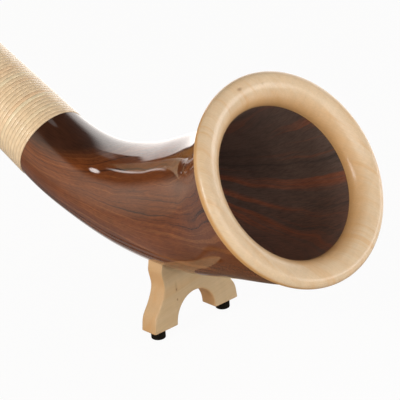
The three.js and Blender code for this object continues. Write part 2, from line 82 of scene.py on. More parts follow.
# Head of a screw, from the middle of its recess to its shank: share of its height, share
# of its radius, and whether the recess's cross shapes the ring
SCREW_HEAD = np.array(
    [
        [0.7, 0.1, True],
        [0.6, 0.17, True],
        [0.1, 0.2, True],
        [0.06, 0.72, False],
        [0.35, 0.93, False],
        [0.6, 1, False],
        [1, 1, False],
    ]
)

# Floor under the sine in a screw's cross recess, and its thread's pitch and depth in
# shank radii
CROSS_FLOOR = 0.34
THREAD_PITCH = 0.7
THREAD_DEPTH = 0.14

# Corner of the foot under the bell as a share of its corner below, and the share of the
# leg down which the two and the bell's lean fade into the leg's own shape
SADDLE_CORNER = 0.12
LEG_FADE = 0.3

# Growth lines and broader bands of the walnut in a metre of depth, and how far the layers
# sway and ripple
WALNUT_LINES = 560
WALNUT_BANDS = 120
WALNUT_SWAY = 0.011
WALNUT_RIPPLE = 0.0016

# Small knots: places on the surface, half sizes and strengths
RIM_KNOTS = [
    ((FOOT_X + 0.1362, -0.0202, 0.3449), (0.004, 0.0058, 0.0028), 0.55),
    ((FOOT_X + 0.1374, 0.0152, 0.342), (0.003, 0.004, 0.0024), 0.2),
]
FOOT_KNOTS = [
    ((FOOT_X + 0.0127, -0.0308, 0.0603), (0.003, 0.0020, 0.0032), 0.75),
    ((FOOT_X + 0.0127, -0.0305, 0.0465), (0.003, 0.0017, 0.0026), 0.7),
    ((FOOT_X + 0.0127, -0.0312, 0.0640), (0.003, 0.0030, 0.0120), 0.22),
]

# Lamps: name, azimuth and elevation in degrees from the foot, distance, width, height,
# and the brightness of its face where 1 is white
LAMPS = [
    ("side_softbox", -88, 18, 2.4, 0.5, 1.4, 8.0),
    ("front_softbox", 0, 24, 2.6, 2.0, 1.2, 1.95),
    ("low_softbox", 46, 8, 2.8, 2.4, 0.8, 3.3),
]

# How finely the forms are divided
BEND_SAMPLES = 2001
UNDERSIDE_ROUNDS = 24
BELL_STEPS = 96
BORE_STEPS = 64
HALF_TURN_STEPS = 96
AROUND_RIM = 256
AROUND_TUBE = 96
AROUND_SMALL = 48
AROUND_CANE = (72, 60, 48)
CURVE_STEPS = 12
SADDLE_STEPS = 22
LEG_STEPS = 44
SHANK_STEPS = 96

# Edges sharper than these, in degrees, are shaded as edges
SHARP = 38
FOOT_SHARP = 50
CANE_SHARP = 70


def length(name, default, description):
    """A length that a user can change, in metres."""
    return FloatProperty(
        name=name, description=description, default=default, unit="LENGTH", precision=4
    )


def angle(name, default, description):
    """An angle that a user can change, given in degrees and kept in radians."""
    return FloatProperty(
        name=name, description=description, default=math.radians(default), subtype="ANGLE"
    )


def colour(name, default, description):
    """A colour that a user can change."""
    return FloatVectorProperty(
        name=name, description=description, default=default, subtype="COLOR", min=0, max=1
    )


class CourseSizes(bpy.types.PropertyGroup):
    """The horn's axis in its plane of symmetry, measured from the middle of the foot."""

    tube_slope: angle("Tube slope", 25.2, "Slope of the straight tube above the level")
    mouth_tilt: angle("Mouth tilt", 32.6, "Tilt of the mouth's direction above the level")
    mouth_reach: length("Mouth reach", 0.192, "Mouth centre in front of the foot")
    mouth_height: length("Mouth height", 0.2426, "Mouth centre above the floor")
    bend_reach: length("Bend reach", 0.2468, "Start of the bend behind the foot")
    bend_height: length("Bend height", 0.1797, "Start of the bend above the floor")
    tube_handle: length("Tube handle", 0.146, "Curve handle at the tube's end")
    mouth_handle: length("Mouth handle", 0.133, "Curve handle at the mouth's end")


class BellSizes(bpy.types.PropertyGroup):
    """The walnut bell and the maple rim ring."""

    start_radius: length("Start radius", 0.0518, "Outside where the bend starts")
    end_radius: length("End radius", 0.1235, "Outside at the rim ring")
    bore_radius: length("Bore radius", 0.0933, "Bore at the rim ring")
    neck: length("Neck", 0.06, "Neck under the cane")
    neck_socket: length("Neck socket", 0.04, "Socket in the neck for the tube")
    neck_spigot_wall: length("Spigot wall", 0.003, "Wall of the tube's spigot there")
    seam: length("Seam", 0.00004, "Half of the gap at the glued seam")
    rim_radius: length("Rim radius", 0.13, "Outer radius of the rim ring")
    rim_back_radius: length("Rim back", 0.1246, "Radius of the ring's back edge")
    rim_back_depth: length("Rim back depth", 0.0096, "Back of the ring below its edge")
    rim_bore_depth: length("Rim bore depth", 0.0152, "Bore end of the ring below its edge")
    rim_crest_radius: length("Crest radius", 0.12, "Radius of the ring's crest")
    rim_crest_height: length("Crest height", 0.0085, "Crest above the ring's edge")
    rim_spigot_wall: length("Rim spigot wall", 0.0114, "Wall of the ring's spigot")


class TubeSizes(bpy.types.PropertyGroup):
    """The straight tube, its brass joints and its cane."""

    bell_tube: length("Bell tube", 0.9, "From the bend to the lower joint")
    middle_tube: length("Middle tube", 1.0, "From the lower joint to the upper joint")
    hand_tube: length("Hand tube", 0.98, "From the upper joint to the player's end")
    wall: length("Wall", 0.007, "Wall of the wooden tube")
    bore_bend: length("Bore at the bend", 0.043, "Bore radius where the bend starts")
    bore_top: length("Bore at the top", 0.0065, "Bore radius at the player's end")
    bore_taper: FloatProperty(name="Taper", description="Power of the bore", default=1.57)
    glue_gap: length("Glue gap", 0.0003, "Gap between seated pieces")
    slide_gap: length("Slide gap", 0.00035, "Gap round a tenon in its socket")
    o_ring_gap: length("O-ring gap", 0.0001, "Gap round an O-ring")
    cane_pitch: length("Cane pitch", 0.0057, "Distance from one turn of cane to the next")
    cane_thickness: length("Cane thickness", 0.0026, "Thickness of the cane strand")
    cane_gap: length("Cane gap", 0.00008, "Gap between turns of cane")
    tenon_reach: length("Tenon reach", 0.06, "Length of a tenon")
    sleeve_seat: length("Sleeve seat", 0.03, "Length of wood under each sleeve")
    spigot_wall: length("Spigot wall", 0.0024, "Wall of the wood inside a tenon")
    tenon_wall: length("Tenon wall", 0.003, "Wall of a tenon")
    socket_wall: length("Socket wall", 0.0015, "Wall of a socket")
    bead_height: length("Bead height", 0.001, "Height of the bead on a sleeve")
    bead_length: length("Bead length", 0.004, "Length of the bead on a sleeve")
    o_ring_radius: length("O-ring radius", 0.001, "Radius of an O-ring's cord")


class EndSizes(bpy.types.PropertyGroup):
    """The mouthpiece and its receiver."""

    receiver_depth: length("Receiver depth", 0.05, "Length of the receiver in the tube")
    receiver_wall: length("Receiver wall", 0.002, "Wall of the receiver")
    receiver_flange: length("Flange", 0.004, "Thickness of the receiver's flange")
    shank_depth: length("Shank depth", 0.036, "Length of the mouthpiece's shank")
    shank_tip: length("Shank tip", 0.0058, "Radius of the shank's tip")
    shank_mouth: length("Shank mouth", 0.007, "Radius of the shank at the receiver")
    shank_bore: length("Shank bore", 0.0046, "Bore radius at the shank's tip")
    throat: length("Throat", 0.0034, "Radius of the mouthpiece's throat")
    stem: length("Stem", 0.012, "Length of the stem")
    stem_radius: length("Stem radius", 0.0082, "Radius of the stem")
    reach: length("Reach", 0.052, "Length of the mouthpiece above the receiver")
    radius: length("Radius", 0.0148, "Radius of the mouthpiece's rim")
    edge: length("Edge", 0.003, "Rounding of the mouthpiece's rim")
    cup_radius: length("Cup radius", 0.0092, "Radius of the cup")
    cup_depth: length("Cup depth", 0.024, "Depth of the cup")


class FootSizes(bpy.types.PropertyGroup):
    """The foot block, its rubber feet and their screws."""

    thickness: length("Thickness", 0.0254, "Thickness of the board")
    underside: length("Underside", 0.0122, "Underside of the board above the floor")
    half_width: length("Half width", 0.0707, "Half of the width over the legs")
    arch_half_width: length("Arch half width", 0.0315, "Half of the arch's width")
    arch_height: length("Arch height", 0.0356, "Height of the arch")
    saddle_half_width: length("Saddle half width", 0.0505, "Half of the saddle's width")
    edge: length("Edge", 0.0024, "Rounding of the board's edges")
    rubber_spacing: length("Rubber spacing", 0.05495, "Rubber foot from the middle")
    rubber_radius: length("Rubber radius", 0.0091, "Radius of a rubber foot")
    rubber_edge: length("Rubber edge", 0.0016, "Rounding of a rubber foot")
    screw_radius: length("Screw radius", 0.002, "Radius of a screw's shank")
    head_radius: length("Head radius", 0.0042, "Radius of a screw's head")
    head_height: length("Head height", 0.0026, "Height of a screw's head")
    recess: length("Recess", 0.005, "Depth of the recess for a screw's head")
    screw_in_foot: length("Screw in foot", 0.017, "Length of a screw in the board")
    screw_tip: length("Screw tip", 0.003, "Length of a screw's point")


class FinishColours(bpy.types.PropertyGroup):
    """Colours of the woods, cane, metals and rubber."""

    walnut_dark: colour("Walnut lines", (0.052, 0.015, 0.006), "Dark growth lines")
    walnut: colour("Walnut", (0.176, 0.047, 0.0105), "Body of the walnut")
    walnut_light: colour("Walnut streaks", (0.262, 0.086, 0.022), "Reddish streaks")
    walnut_heart: colour("Walnut heart", (0.052, 0.019, 0.010), "Oldest, darkest wood")
    bore: colour("Bore", (0.142, 0.100, 0.086), "Body of the walnut in the bore")
    bore_dark: colour("Bore lines", (0.090, 0.070, 0.064), "Dark bands in the bore")
    bore_streak: colour("Bore streaks", (0.30, 0.115, 0.070), "Reddish streaks in the bore")
    maple: colour("Maple", (0.70, 0.515, 0.325), "Body of the maple")
    maple_light: colour("Maple light", (0.735, 0.610, 0.440), "Light grain of the maple")
    # The maple's warm colour is both its warm grain and painted shade down the ring's flank and
    # round its outer wall.
    maple_warm_grain_and_shade: colour("Maple warm", (0.64, 0.35, 0.125), "Warm grain of the maple")
    foot: colour("Foot maple", (0.615, 0.455, 0.265), "Body of the foot's maple")
    foot_light: colour("Foot maple light", (0.655, 0.52, 0.34), "Light grain of the foot")
    # The foot's warm colour is its warm grain and end grain, and painted shade under and inside
    # the arch.
    foot_warm_grain_and_shade: colour("Foot maple warm", (0.64, 0.345, 0.135), "Warm grain of the foot")
    knot: colour("Knot", (0.20, 0.085, 0.025), "Small knots")
    spruce: colour("Spruce", (0.74, 0.52, 0.28), "Wood of the tube")
    spruce_line: colour("Spruce lines", (0.48, 0.27, 0.11), "Growth lines of the spruce")
    cane: colour("Cane", (0.87, 0.68, 0.45), "Body of the cane")
    cane_warm: colour("Warm cane", (0.86, 0.59, 0.36), "Pinkish strands")
    cane_pale: colour("Pale cane", (0.90, 0.77, 0.53), "Yellowish strands")
    brass: colour("Brass", (0.78, 0.56, 0.24), "Polished brass")
    rubber: colour("Rubber", (0.009, 0.0075, 0.005), "Black rubber")
    steel: colour("Steel", (0.56, 0.57, 0.58), "Zinc-plated screws")
    boxwood: colour("Boxwood", (0.60, 0.32, 0.11), "Turned mouthpiece")


class StageSettings(bpy.types.PropertyGroup):
    """Camera and light."""

    azimuth: angle("Azimuth", 48.29, "Camera's direction round the horn")
    elevation: angle("Elevation", 22.87, "Camera's height above the level")
    roll: angle("Roll", -4.13, "Camera's roll")
    target_reach: length("Target reach", 0.03317, "Point looked at, in front of the foot")
    target_height: length("Target height", 0.17458, "Point looked at, above the floor")
    distance: length("Distance", 2.47333, "Camera's distance")
    field: FloatProperty(
        name="Focal share",
        description="Focal length over the picture's width",
        default=5.12385,
    )
    whiteness: FloatProperty(name="Whiteness", description="Floor's own white", default=0.94)
    floor_reach: length("Floor reach", 9.0, "Half of the floor's width")
    floor: colour("Floor", (0.86, 0.86, 0.86), "Pale floor")
    # Sizes and colour of a dark glowing sheet under the bell that only gloss shows: painted shade
    # in place of the floor's shade.
    painted_shadow_behind: length("Card behind", 0.15, "Brown card behind the foot")
    painted_shadow_ahead: length("Card ahead", 0.6, "Brown card in front of the foot")
    painted_shadow_half_width: length("Card half width", 0.45, "Half of the card's width")
    painted_shadow_height: length("Card height", 0.0001, "Card above the floor")
    painted_shadow: colour("Card", (0.12, 0.08, 0.055), "Brown card under the bell")
    strip: colour("Strip", (0.27, 0.13, 0.035), "Warm wood beside the white sweep")


class AlphornSettings(bpy.types.PropertyGroup):
    """Everything that a user can change."""

    course: PointerProperty(type=CourseSizes)
    bell: PointerProperty(type=BellSizes)
    tube: PointerProperty(type=TubeSizes)
    end: PointerProperty(type=EndSizes)
    foot: PointerProperty(type=FootSizes)
    colours: PointerProperty(type=FinishColours)
    stage: PointerProperty(type=StageSettings)


def settings():
    """The scene's settings for the horn."""
    return bpy.context.scene.alphorn


# The horn's course and radii


def course():
    """Samples of the horn's axis: distance along it, points and forward directions.

    The bend is one cubic curve through four control points, with weights (1-t)^3,
    3(1-t)^2 t, 3(1-t) t^2 and t^3. A far point is added straight up the tube and another
    straight out of the mouth, so that one look-up serves the whole horn. Distances are
    0 at the bend's start, and negative up the tube.
    """
    c, bell = settings().course, settings().bell
    forward = np.array([math.cos(c.tube_slope), 0, -math.sin(c.tube_slope)])
    outward = np.array([math.cos(c.mouth_tilt), 0, math.sin(c.mouth_tilt)])
    mouth = np.array([FOOT_X + c.mouth_reach, 0, c.mouth_height])
    start = np.array([FOOT_X - c.bend_reach, 0, c.bend_height])
    end = mouth - outward * (bell.rim_back_depth + rim_seat())
    t = np.linspace(0, 1, BEND_SAMPLES)[:, None]
    controls = [start, start + forward * c.tube_handle, end - outward * c.mouth_handle, end]
    weights = [(1 - t) ** 3, 3 * (1 - t) ** 2 * t, 3 * (1 - t) * t**2, t**3]
    points = sum(weight * control for weight, control in zip(weights, controls))
    steps = np.linalg.norm(np.diff(points, axis=0), axis=1)
    along = np.concatenate([[0], np.cumsum(steps)])
    directions = np.gradient(points, axis=0)
    directions[0], directions[-1] = forward, outward
    directions /= np.linalg.norm(directions, axis=1)[:, None]
    above, beyond = tube_length() + settings().end.reach, bell.rim_radius
    along = np.concatenate([[-above], along, [along[-1] + beyond]])
    points = np.vstack([start - forward * above, points, end + outward * beyond])
    return along, points, np.vstack([forward, directions, outward])


def rim_seat():
    """Length of the straight seat for the rim ring at the bell's end."""
    bell = settings().bell
    return bell.rim_bore_depth - bell.rim_back_depth + settings().tube.glue_gap


def tube_length():
    """Length of the straight tube, from the bend to the player's end."""
    tube = settings().tube
    return tube.bell_tube + tube.middle_tube + tube.hand_tube


def bend_length():
    """Length of the bend along the axis."""
    return course()[0][-2]


def mouth_along():
    """Distance along the axis to the plane of the rim ring's outer edge."""
    return bend_length() + rim_seat() + settings().bell.rim_back_depth


def axis_at(along):
    """Points of the horn's axis and their top directions, at distances along it."""
    stations, points, directions = course()
    point = np.stack([np.interp(along, stations, column) for column in points.T], -1)
    forward = np.stack([np.interp(along, stations, column) for column in directions.T], -1)
    top = np.stack([-forward[..., 2], 0 * forward[..., 1], forward[..., 0]], -1)
    return point, top / np.linalg.norm(top, axis=-1, keepdims=True)


def smooth_share(shares, position):
    """Smooth curve through evenly spaced shares.

    Each stretch is a cubic whose slope at either end is half of the rise from the share
    before to the share after, or the one rise that there is at the ends.
    """
    last = len(shares) - 1
    index = np.clip(np.floor(position * last).astype(int), 0, last - 1)
    t = position * last - index
    slopes = np.gradient(shares)
    rise = shares[index + 1] - shares[index]
    bulge = (1 - t) * (slopes[index] - rise) + t * (rise - slopes[index + 1])
    return shares[index] + t * rise + t * (1 - t) * bulge


def bell_outer(along):
    """Outside radius of the bell: its two end radii, mixed by a smooth share."""
    bell = settings().bell
    share = smooth_share(BELL_OUTER_SHARES, along / (bend_length() + rim_seat()))
    return bell.start_radius + (bell.end_radius - bell.start_radius) * share


def bell_bore(along):
    """Bore radius of the bell: its two end radii, mixed by a smooth share."""
    bell, tube = settings().bell, settings().tube
    share = smooth_share(BELL_BORE_SHARES, along / bend_length())
    return tube.bore_bend + (bell.bore_radius - tube.bore_bend) * share


def tube_bore(height):
    """The bore shrinks up the tube as a power of the share of the tube that is left."""
    tube = settings().tube
    taper = np.clip(1 - height / tube_length(), 0, 1) ** tube.bore_taper
    return tube.bore_top + (tube.bore_bend - tube.bore_top) * taper


def tube_outer(height):
    """Outside radius of the wooden tube."""
    return tube_bore(height) + settings().tube.wall


def cane_inner(height):
    """Radius of the underside of the cane."""
    return tube_outer(height) + settings().tube.glue_gap


def bell_underside(x, aside):
    """Height of the bell's underside over points of the floor.

    At a distance along the axis the underside lies below the axis by the root of the
    squared radius less the squared distance aside. The distance along is moved by the
    error in x a few times, until the underside is over x.
    """
    along = np.full(np.broadcast(x, aside).shape, bend_length() / 2)
    for _ in range(UNDERSIDE_ROUNDS):
        point, top = axis_at(along)
        drop = np.sqrt(np.maximum(bell_outer(along) ** 2 - aside**2, 0))
        under = point - top * drop[..., None]
        along = along + (x - under[..., 0])
    return under[..., 2]


# Surfaces as arrays


def quarter(start, end, across_first, steps=CURVE_STEPS):
    """Quarter of an ellipse between two points of an outline, without the first.

    The share across is the sine of an angle from 0 to 90 degrees and the share up is one
    less its cosine, or the other way round where the curve starts up the outline.
    """
    turn = np.linspace(0, math.pi / 2, steps + 1)[1:]
    shares = np.stack([np.sin(turn), 1 - np.cos(turn)], -1)
    if not across_first:
        shares = shares[:, ::-1]
    return np.array(start) + (np.array(end) - np.array(start)) * shares


def softened(outline, radius):
    """A closed outline with each corner cut to three points.

    The outer two lie the radius away along the edges, or a third of an edge if that is
    less, and the middle one is half of the corner and a quarter of each.
    """
    before = np.roll(outline, 1, axis=0) - outline
    after = np.roll(outline, -1, axis=0) - outline

    def reach(edge):
        size = np.linalg.norm(edge, axis=1, keepdims=True)
        return edge * np.minimum(radius / size, 1 / 3)

    first, last = outline + reach(before), outline + reach(after)
    middle = (first + 2 * outline + last) / 4
    return np.stack([first, middle, last], 1).reshape(-1, 2)


def through_points(points, steps):
    """Smooth curve through points: each stretch is a cubic with slopes from neighbours."""
    points = np.asarray(points, float)
    position = np.linspace(0, 1, steps + 1)
    return np.stack([smooth_share(column, position) for column in points.T], -1)


def grid_quads(rows, columns, wrap_rows):
    """Quads of a grid whose last column joins its first, and its last row where asked."""
    i = np.arange(rows if wrap_rows else rows - 1)[:, None]
    j = np.arange(columns)
    below, right = (i + 1) % rows, (j + 1) % columns
    corners = [i * columns + j, i * columns + right, below * columns + right, below * columns + j]
    return np.stack(corners, -1).reshape(-1, 4).tolist()


def lofted(rows, columns, flipped=False):
    """Faces of a form whose rows are closed loops, with a flat face over either end."""
    loop = np.arange(columns)
    ends = [loop[::-1].tolist(), (loop + (rows - 1) * columns).tolist()]
    faces = grid_quads(rows, columns, False) + ends
    return [face[::-1] for face in faces] if flipped else faces


def full_turn(steps):
    """Angles evenly spaced round a circle."""
    return np.linspace(0, 2 * math.pi, steps, endpoint=False)


def round_course(outline, turns, side=0):
    """Rings round the horn's axis, one for each turn of an outline.

    A point is the axis at its distance along, plus its radius times the cosine of the
    turn upwards and the sine sideways. A half shell stops at the seam on its side. The
    second array holds the point in straightened wood: along, aside and up.
    """
    along, radius = np.asarray(outline).T
    point, top = axis_at(along)
    up = np.cos(turns)[:, None] * radius
    aside = np.sin(turns)[:, None] * radius
    if side:
        aside = side * np.maximum(np.abs(aside), settings().bell.seam)
    places = point + up[..., None] * top + aside[..., None] * SIDEWAYS
    return places, np.stack([np.broadcast_to(along, up.shape), aside, up], -1)


def upright_course(height, radius, aside):
    """Rings round an upright axis under the foot, one for each turn.

    A point is the axis plus its radius times the cosine of the turn ahead and less the
    sine sideways. The radius may change with the turn, which is then its first index.
    """
    turns = full_turn(AROUND_SMALL)[:, None]
    ahead, sideways = np.cos(turns) * radius, -np.sin(turns) * radius
    return np.stack([FOOT_X + ahead, aside + sideways, np.broadcast_to(height, ahead.shape)], -1)


def into_scene(name, data):
    """An object for the data, in the scene's collection."""
    made = bpy.data.objects.new(name, data)
    bpy.context.scene.collection.objects.link(made)
    return made


class Piece:
    """One piece of the horn on its way into the scene."""

    def __init__(self, name, body, slot, nodes, *finishes):
        self.name, self.body, self.slot = name, body, slot
        self.nodes, self.finishes = nodes, finishes

    def build(self, places, faces, sharp=SHARP, which=None, **attributes):
        """Puts the arrays into a mesh, with its attributes, finishes and body."""
        mesh = bpy.data.meshes.new(self.name)
        mesh.from_pydata(places.reshape(-1, 3).tolist(), [], faces)
        mesh.shade_smooth()
        mesh.set_sharp_from_angle(angle=math.radians(sharp))
        for key, values in attributes.items():
            attribute = mesh.attributes.new(key, "FLOAT_VECTOR", "POINT")
            attribute.data.foreach_set("vector", values.astype(np.float32).ravel())
        for used in self.finishes:
            mesh.materials.append(used)
        if which is not None:
            mesh.polygons.foreach_set("material_index", which)
        piece = into_scene(self.name, mesh)
        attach(piece, self.body)
        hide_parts(*self.nodes)

    def ring(self, surface, **attributes):
        """A whole ring: a grid that joins up both ways."""
        self.build(surface, grid_quads(*surface.shape[:2], True), **attributes)

    def turned(self, outline, around=AROUND_TUBE):
        """A whole ring: a closed outline carried round the horn's axis."""
        surface, wood = round_course(outline, full_turn(around))
        self.ring(surface, wood=wood)

    def half_shell(self, outline, side, steps=HALF_TURN_STEPS, bore=None):
        """Half of a ring, closed at the seam by a flat face at either end.

        Where points of the outline are marked as bore, faces between them take the
        piece's second finish.
        """
        start = 0 if side > 0 else math.pi
        turns = np.linspace(start, start + math.pi, steps + 1)
        surface, wood = round_course(outline, turns, side)
        which = None
        if bore is not None:
            bored = np.tile(bore & np.roll(bore, -1), steps)
            which = np.concatenate([bored, [False, False]]).astype(np.int32)
        self.build(surface, lofted(*surface.shape[:2]), which=which, wood=wood)


# Shader maths


def operator_pair(operation):
    """A Python operator that adds a Math node, and its reflected form."""

    def straight(first, second):
        return first.finish.maths(operation, first, second)

    def reflected(second, first):
        return second.finish.maths(operation, first, second)

    return straight, reflected


class Signal:
    """A shader socket that adds, subtracts, multiplies and divides through Math nodes."""

    def __init__(self, finish, socket):
        self.finish, self.socket = finish, socket

    __add__, __radd__ = operator_pair("ADD")
    __sub__, __rsub__ = operator_pair("SUBTRACT")
    __mul__, __rmul__ = operator_pair("MULTIPLY")
    __truediv__, __rtruediv__ = operator_pair("DIVIDE")
    __pow__, __rpow__ = operator_pair("POWER")


class Finish:
    """A material, or the world, whose nodes are all made by one method."""

    def __init__(self, owner):
        owner.use_nodes = True
        self.owner, self.tree = owner, owner.node_tree
        self.tree.nodes.clear()

    def node(self, kind, chosen=None, inputs=None, output=0):
        """Makes a node, sets its settings, then values or links, and gives an output."""
        made = self.tree.nodes.new(f"ShaderNode{kind}")
        for key, value in (chosen or {}).items():
            if key == "stops":
                self.set_stops(made.color_ramp, value)
            else:
                setattr(made, key, value)
        for key, value in (inputs or {}).items():
            if isinstance(value, Signal):
                self.tree.links.new(value.socket, made.inputs[key])
            else:
                made.inputs[key].default_value = value
        return Signal(self, made.outputs[output]) if made.outputs else made

    @staticmethod
    def set_stops(ramp, stops):
        """Gives a ramp its stops, each a position and a colour."""
        for _ in stops[2:]:
            ramp.elements.new(0.5)
        for element, (position, value) in zip(ramp.elements, stops):
            element.position = position
            element.color = (*value, 1)

    def maths(self, operation, *values, clamp=False):
        """A Math node on numbers."""
        chosen = {"operation": operation, "use_clamp": clamp}
        return self.node("Math", chosen, dict(enumerate(values)))

    def vector(self, operation, *values, output=0):
        """A Vector Math node."""
        return self.node("VectorMath", {"operation": operation}, dict(enumerate(values)), output)

    def mix(self, factor, first, second, blend="MIX"):
        """Mixes two colours."""
        first, second = (v if isinstance(v, Signal) else (*v, 1) for v in (first, second))
        chosen = {"data_type": "RGBA", "blend_type": blend}
        return self.node("Mix", chosen, {0: factor, 6: first, 7: second}, 2)

    def tinted(self, shade, value):
        """A colour times a value."""
        return self.mix(1.0, shade, self.join(value, value, value), "MULTIPLY")

    def noise(self, vector, detail=2.0, roughness=0.5, distortion=0.0, scale=1.0):
        """Noise over places that are already scaled, unless a scale is given."""
        inputs = {
            "Vector": vector,
            "Scale": scale,
            "Detail": detail,
            "Roughness": roughness,
            "Distortion": distortion,
        }
        return self.node("TexNoise", None, inputs)

    def grain(self, vector, scales, detail=2.0, roughness=0.5, distortion=0.0):
        """Noise drawn out by a scale for each direction."""
        scaled = self.vector("MULTIPLY", vector, scales)
        return self.noise(scaled, detail, roughness, distortion)

    def ramp(self, factor, stops):
        """A colour ramp."""
        return self.node("ValToRGB", {"stops": stops}, {"Fac": factor})

    def range(self, value, low, high, to_low=0.0, to_high=1.0, smooth=False):
        """Takes one range of a value to another, and holds it beyond the ends."""
        kind = "SMOOTHSTEP" if smooth else "LINEAR"
        inputs = {
            "Value": value,
            "From Min": low,
            "From Max": high,
            "To Min": to_low,
            "To Max": to_high,
        }
        return self.node("MapRange", {"interpolation_type": kind}, inputs)

    def fade(self, value, start, end):
        """1 up to a start, then smoothly down to 0 at an end."""
        return self.range(value, start, end, 1.0, 0.0, smooth=True)

    def rise(self, value, start, end):
        """0 up to a start, then smoothly up to 1 at an end."""
        return self.range(value, start, end, smooth=True)

    def between(self, noise, low, high):
        """Spreads the usual range of a noise between two values."""
        return self.range(noise, 0.3, 0.7, low, high)

    def attribute(self, name):
        """A vector attribute of the mesh."""
        return self.node("Attribute", {"attribute_name": name}, None, "Vector")

    def place(self, output="Object"):
        """The place on the piece, or the world's direction."""
        return self.node("TexCoord", None, None, output)

    def outputs(self, signal, *keys):
        """Some outputs of the node that a signal comes from."""
        return [Signal(self, signal.socket.node.outputs[key]) for key in keys]

    def split(self, vector):
        """The three parts of a vector."""
        return self.outputs(self.node("SeparateXYZ", None, {0: vector}), 0, 1, 2)

    def join(self, x, y, z):
        """A vector, or a colour, from three parts."""
        return self.node("CombineXYZ", None, {0: x, 1: y, 2: z})

    def bump(self, height, strength, distance):
        """A normal from a height."""
        inputs = {"Height": height, "Strength": strength, "Distance": distance}
        return self.node("Bump", None, inputs)

    def glow(self, shade):
        """A shader of its own plain brightness."""
        return self.node("Emission", None, {"Color": (*shade, 1), "Strength": 1.0})

    def end(self, shader):
        """Ends the material in a shader."""
        self.node("OutputMaterial", None, {"Surface": shader})
        return self.owner

    def surface(self, shade, rough, normal, coat=0.0, coat_rough=0.03, shine=0.5, metallic=0.0):
        """Ends the material in one Principled shader."""
        inputs = {
            "Base Color": shade,
            "Roughness": rough,
            "Coat Weight": coat,
            "Coat Roughness": coat_rough,
            "Specular IOR Level": shine,
            "Metallic": metallic,
        }
        if normal is not None:
            inputs["Normal"] = normal
        return self.end(self.node("BsdfPrincipled", None, inputs))

    def mixed_surface(self, factor, first, second):
        """Ends the material in a mix of two shaders."""
        return self.end(self.node("MixShader", None, {0: factor, 1: first, 2: second}))


def new_finish(name):
    """An empty material."""
    return Finish(bpy.data.materials.new(name))


# Finishes. Noise scales are cycles in a metre, along the grain and then across it


def growth_depth(f, wood, fall):
    """Depth through the walnut's growth layers, in metres.

    The layers lie about level in the tree, and the bell curves more than the tree did, so
    their height drifts towards the top of the bend and back. Over the flare they fan out:
    the height is divided by the squared distance from the axis over that at the neck.
    A fall lowers the layers evenly towards the mouth.
    """
    neck, end = settings().bell.start_radius, bend_length()
    crown = 0.46 * end
    along, aside, up = f.split(wood)
    drift = f.range(along, -0.02, crown, 0.0, 0.0254, smooth=True)
    drift = drift - f.range(along, crown, end, 0.0, 0.0085, smooth=True)
    spread = (aside * aside + up * up) / (neck * neck)
    return (up - drift + (along - end) * fall) / spread


def walnut_colour(f, dark, body, light, fineness, fall=0.0):
    """Colour of bare walnut, and a height for its pores.

    Noise along the depth through the layers gives dark lines and broad bands, shared out
    by the fineness. Noise drawn out along the wood gives the pores. The oldest wood, past
    a depth, is the darkest.
    """
    wood = f.attribute("wood")
    sway = f.grain(wood, (7, 11, 11)) - 0.5
    ripple = f.grain(wood, (30, 34, 34)) - 0.5
    depth = growth_depth(f, wood, fall) + sway * WALNUT_SWAY + ripple * WALNUT_RIPPLE
    along, aside, up = f.split(wood)
    lines = f.noise(f.join(along * 1.6, depth * WALNUT_LINES, aside * 2), 3.0, 0.75)
    bands = f.noise(f.join(along * 2.2, depth * WALNUT_BANDS, 7.0))
    pores = f.grain(wood, (24, 700, 700), 3.0, 0.7)
    cloud = f.grain(wood, (16, 22, 22), distortion=0.5)
    tone = f.range(lines * fineness + bands * (1 - fineness), 0.38, 0.60)
    shade = f.ramp(tone, [(0.0, dark), (0.38, body), (0.66, body), (1.0, light)])
    oldest = f.rise(depth, 0.018, 0.034)
    shade = f.mix(oldest, shade, settings().colours.walnut_heart)
    value = f.range(pores, 0.34, 0.6, 0.72, 1.08) * f.between(cloud, 0.84, 1.16)
    return f.tinted(shade, value), pores * 0.5 + lines * 0.5


def walnut_finish():
    """Walnut under a clear gloss lacquer, whose skin has sunk a little into the pores."""
    shades = settings().colours
    f = new_finish("walnut")
    walnut = shades.walnut_dark, shades.walnut, shades.walnut_light
    shade, height = walnut_colour(f, *walnut, 0.62)
    rough, normal = f.between(height, 0.5, 0.4), f.bump(height, 0.1, 0.0003)
    return f.surface(shade, rough, normal, coat=1.0, shine=0.05)


def walnut_bore_finish():
    """The bell's bore: satin walnut, greyer, with reddish streaks that are strongest in its lower
    side, and painted up to 1.9 times paler deep inside, where little light comes: painted light."""
    shades = settings().colours
    f = new_finish("walnut_bore")
    walnut = shades.bore_dark, shades.bore, shades.bore_streak
    shade, height = walnut_colour(f, *walnut, 0.35, fall=0.05)
    along, _, up = f.split(f.attribute("wood"))
    red = f.range(up, -0.01, -0.08, 0.0, 0.5) * f.range(height, 0.4, 0.6)
    shade = f.mix(red, shade, shades.bore_streak)
    # Painted light: deep inside the bore the colour is raised up to 1.9 times, in place of light
    # that does not reach there.
    painted_light_deep_inside = f.range(along, 0.5 * bend_length(), 0.9 * bend_length(), 1.9, 1.0)
    rough, normal = f.between(height, 0.5, 0.38), f.bump(height, 0.2, 0.0004)
    return f.surface(f.tinted(shade, painted_light_deep_inside), rough, normal, 0.2, 0.3, 0.35)


def knots(f, places):
    """Mask of small knots and smudges, each an ellipsoid that fades to its edge.

    The share of the way from a knot's place to its edge is the length of the offset
    divided by the knot's half sizes.
    """
    masks = []
    for place, halves, strength in places:
        offset = f.vector("SUBTRACT", f.place(), place)
        shares = f.vector("MULTIPLY", offset, [1 / half for half in halves])
        away = f.vector("LENGTH", shares, output="Value")
        masks.append(f.range(away, 0.1, 1.0, strength, 0.0, smooth=True))
    return reduce(lambda mask, other: f.maths("MAXIMUM", mask, other), masks)


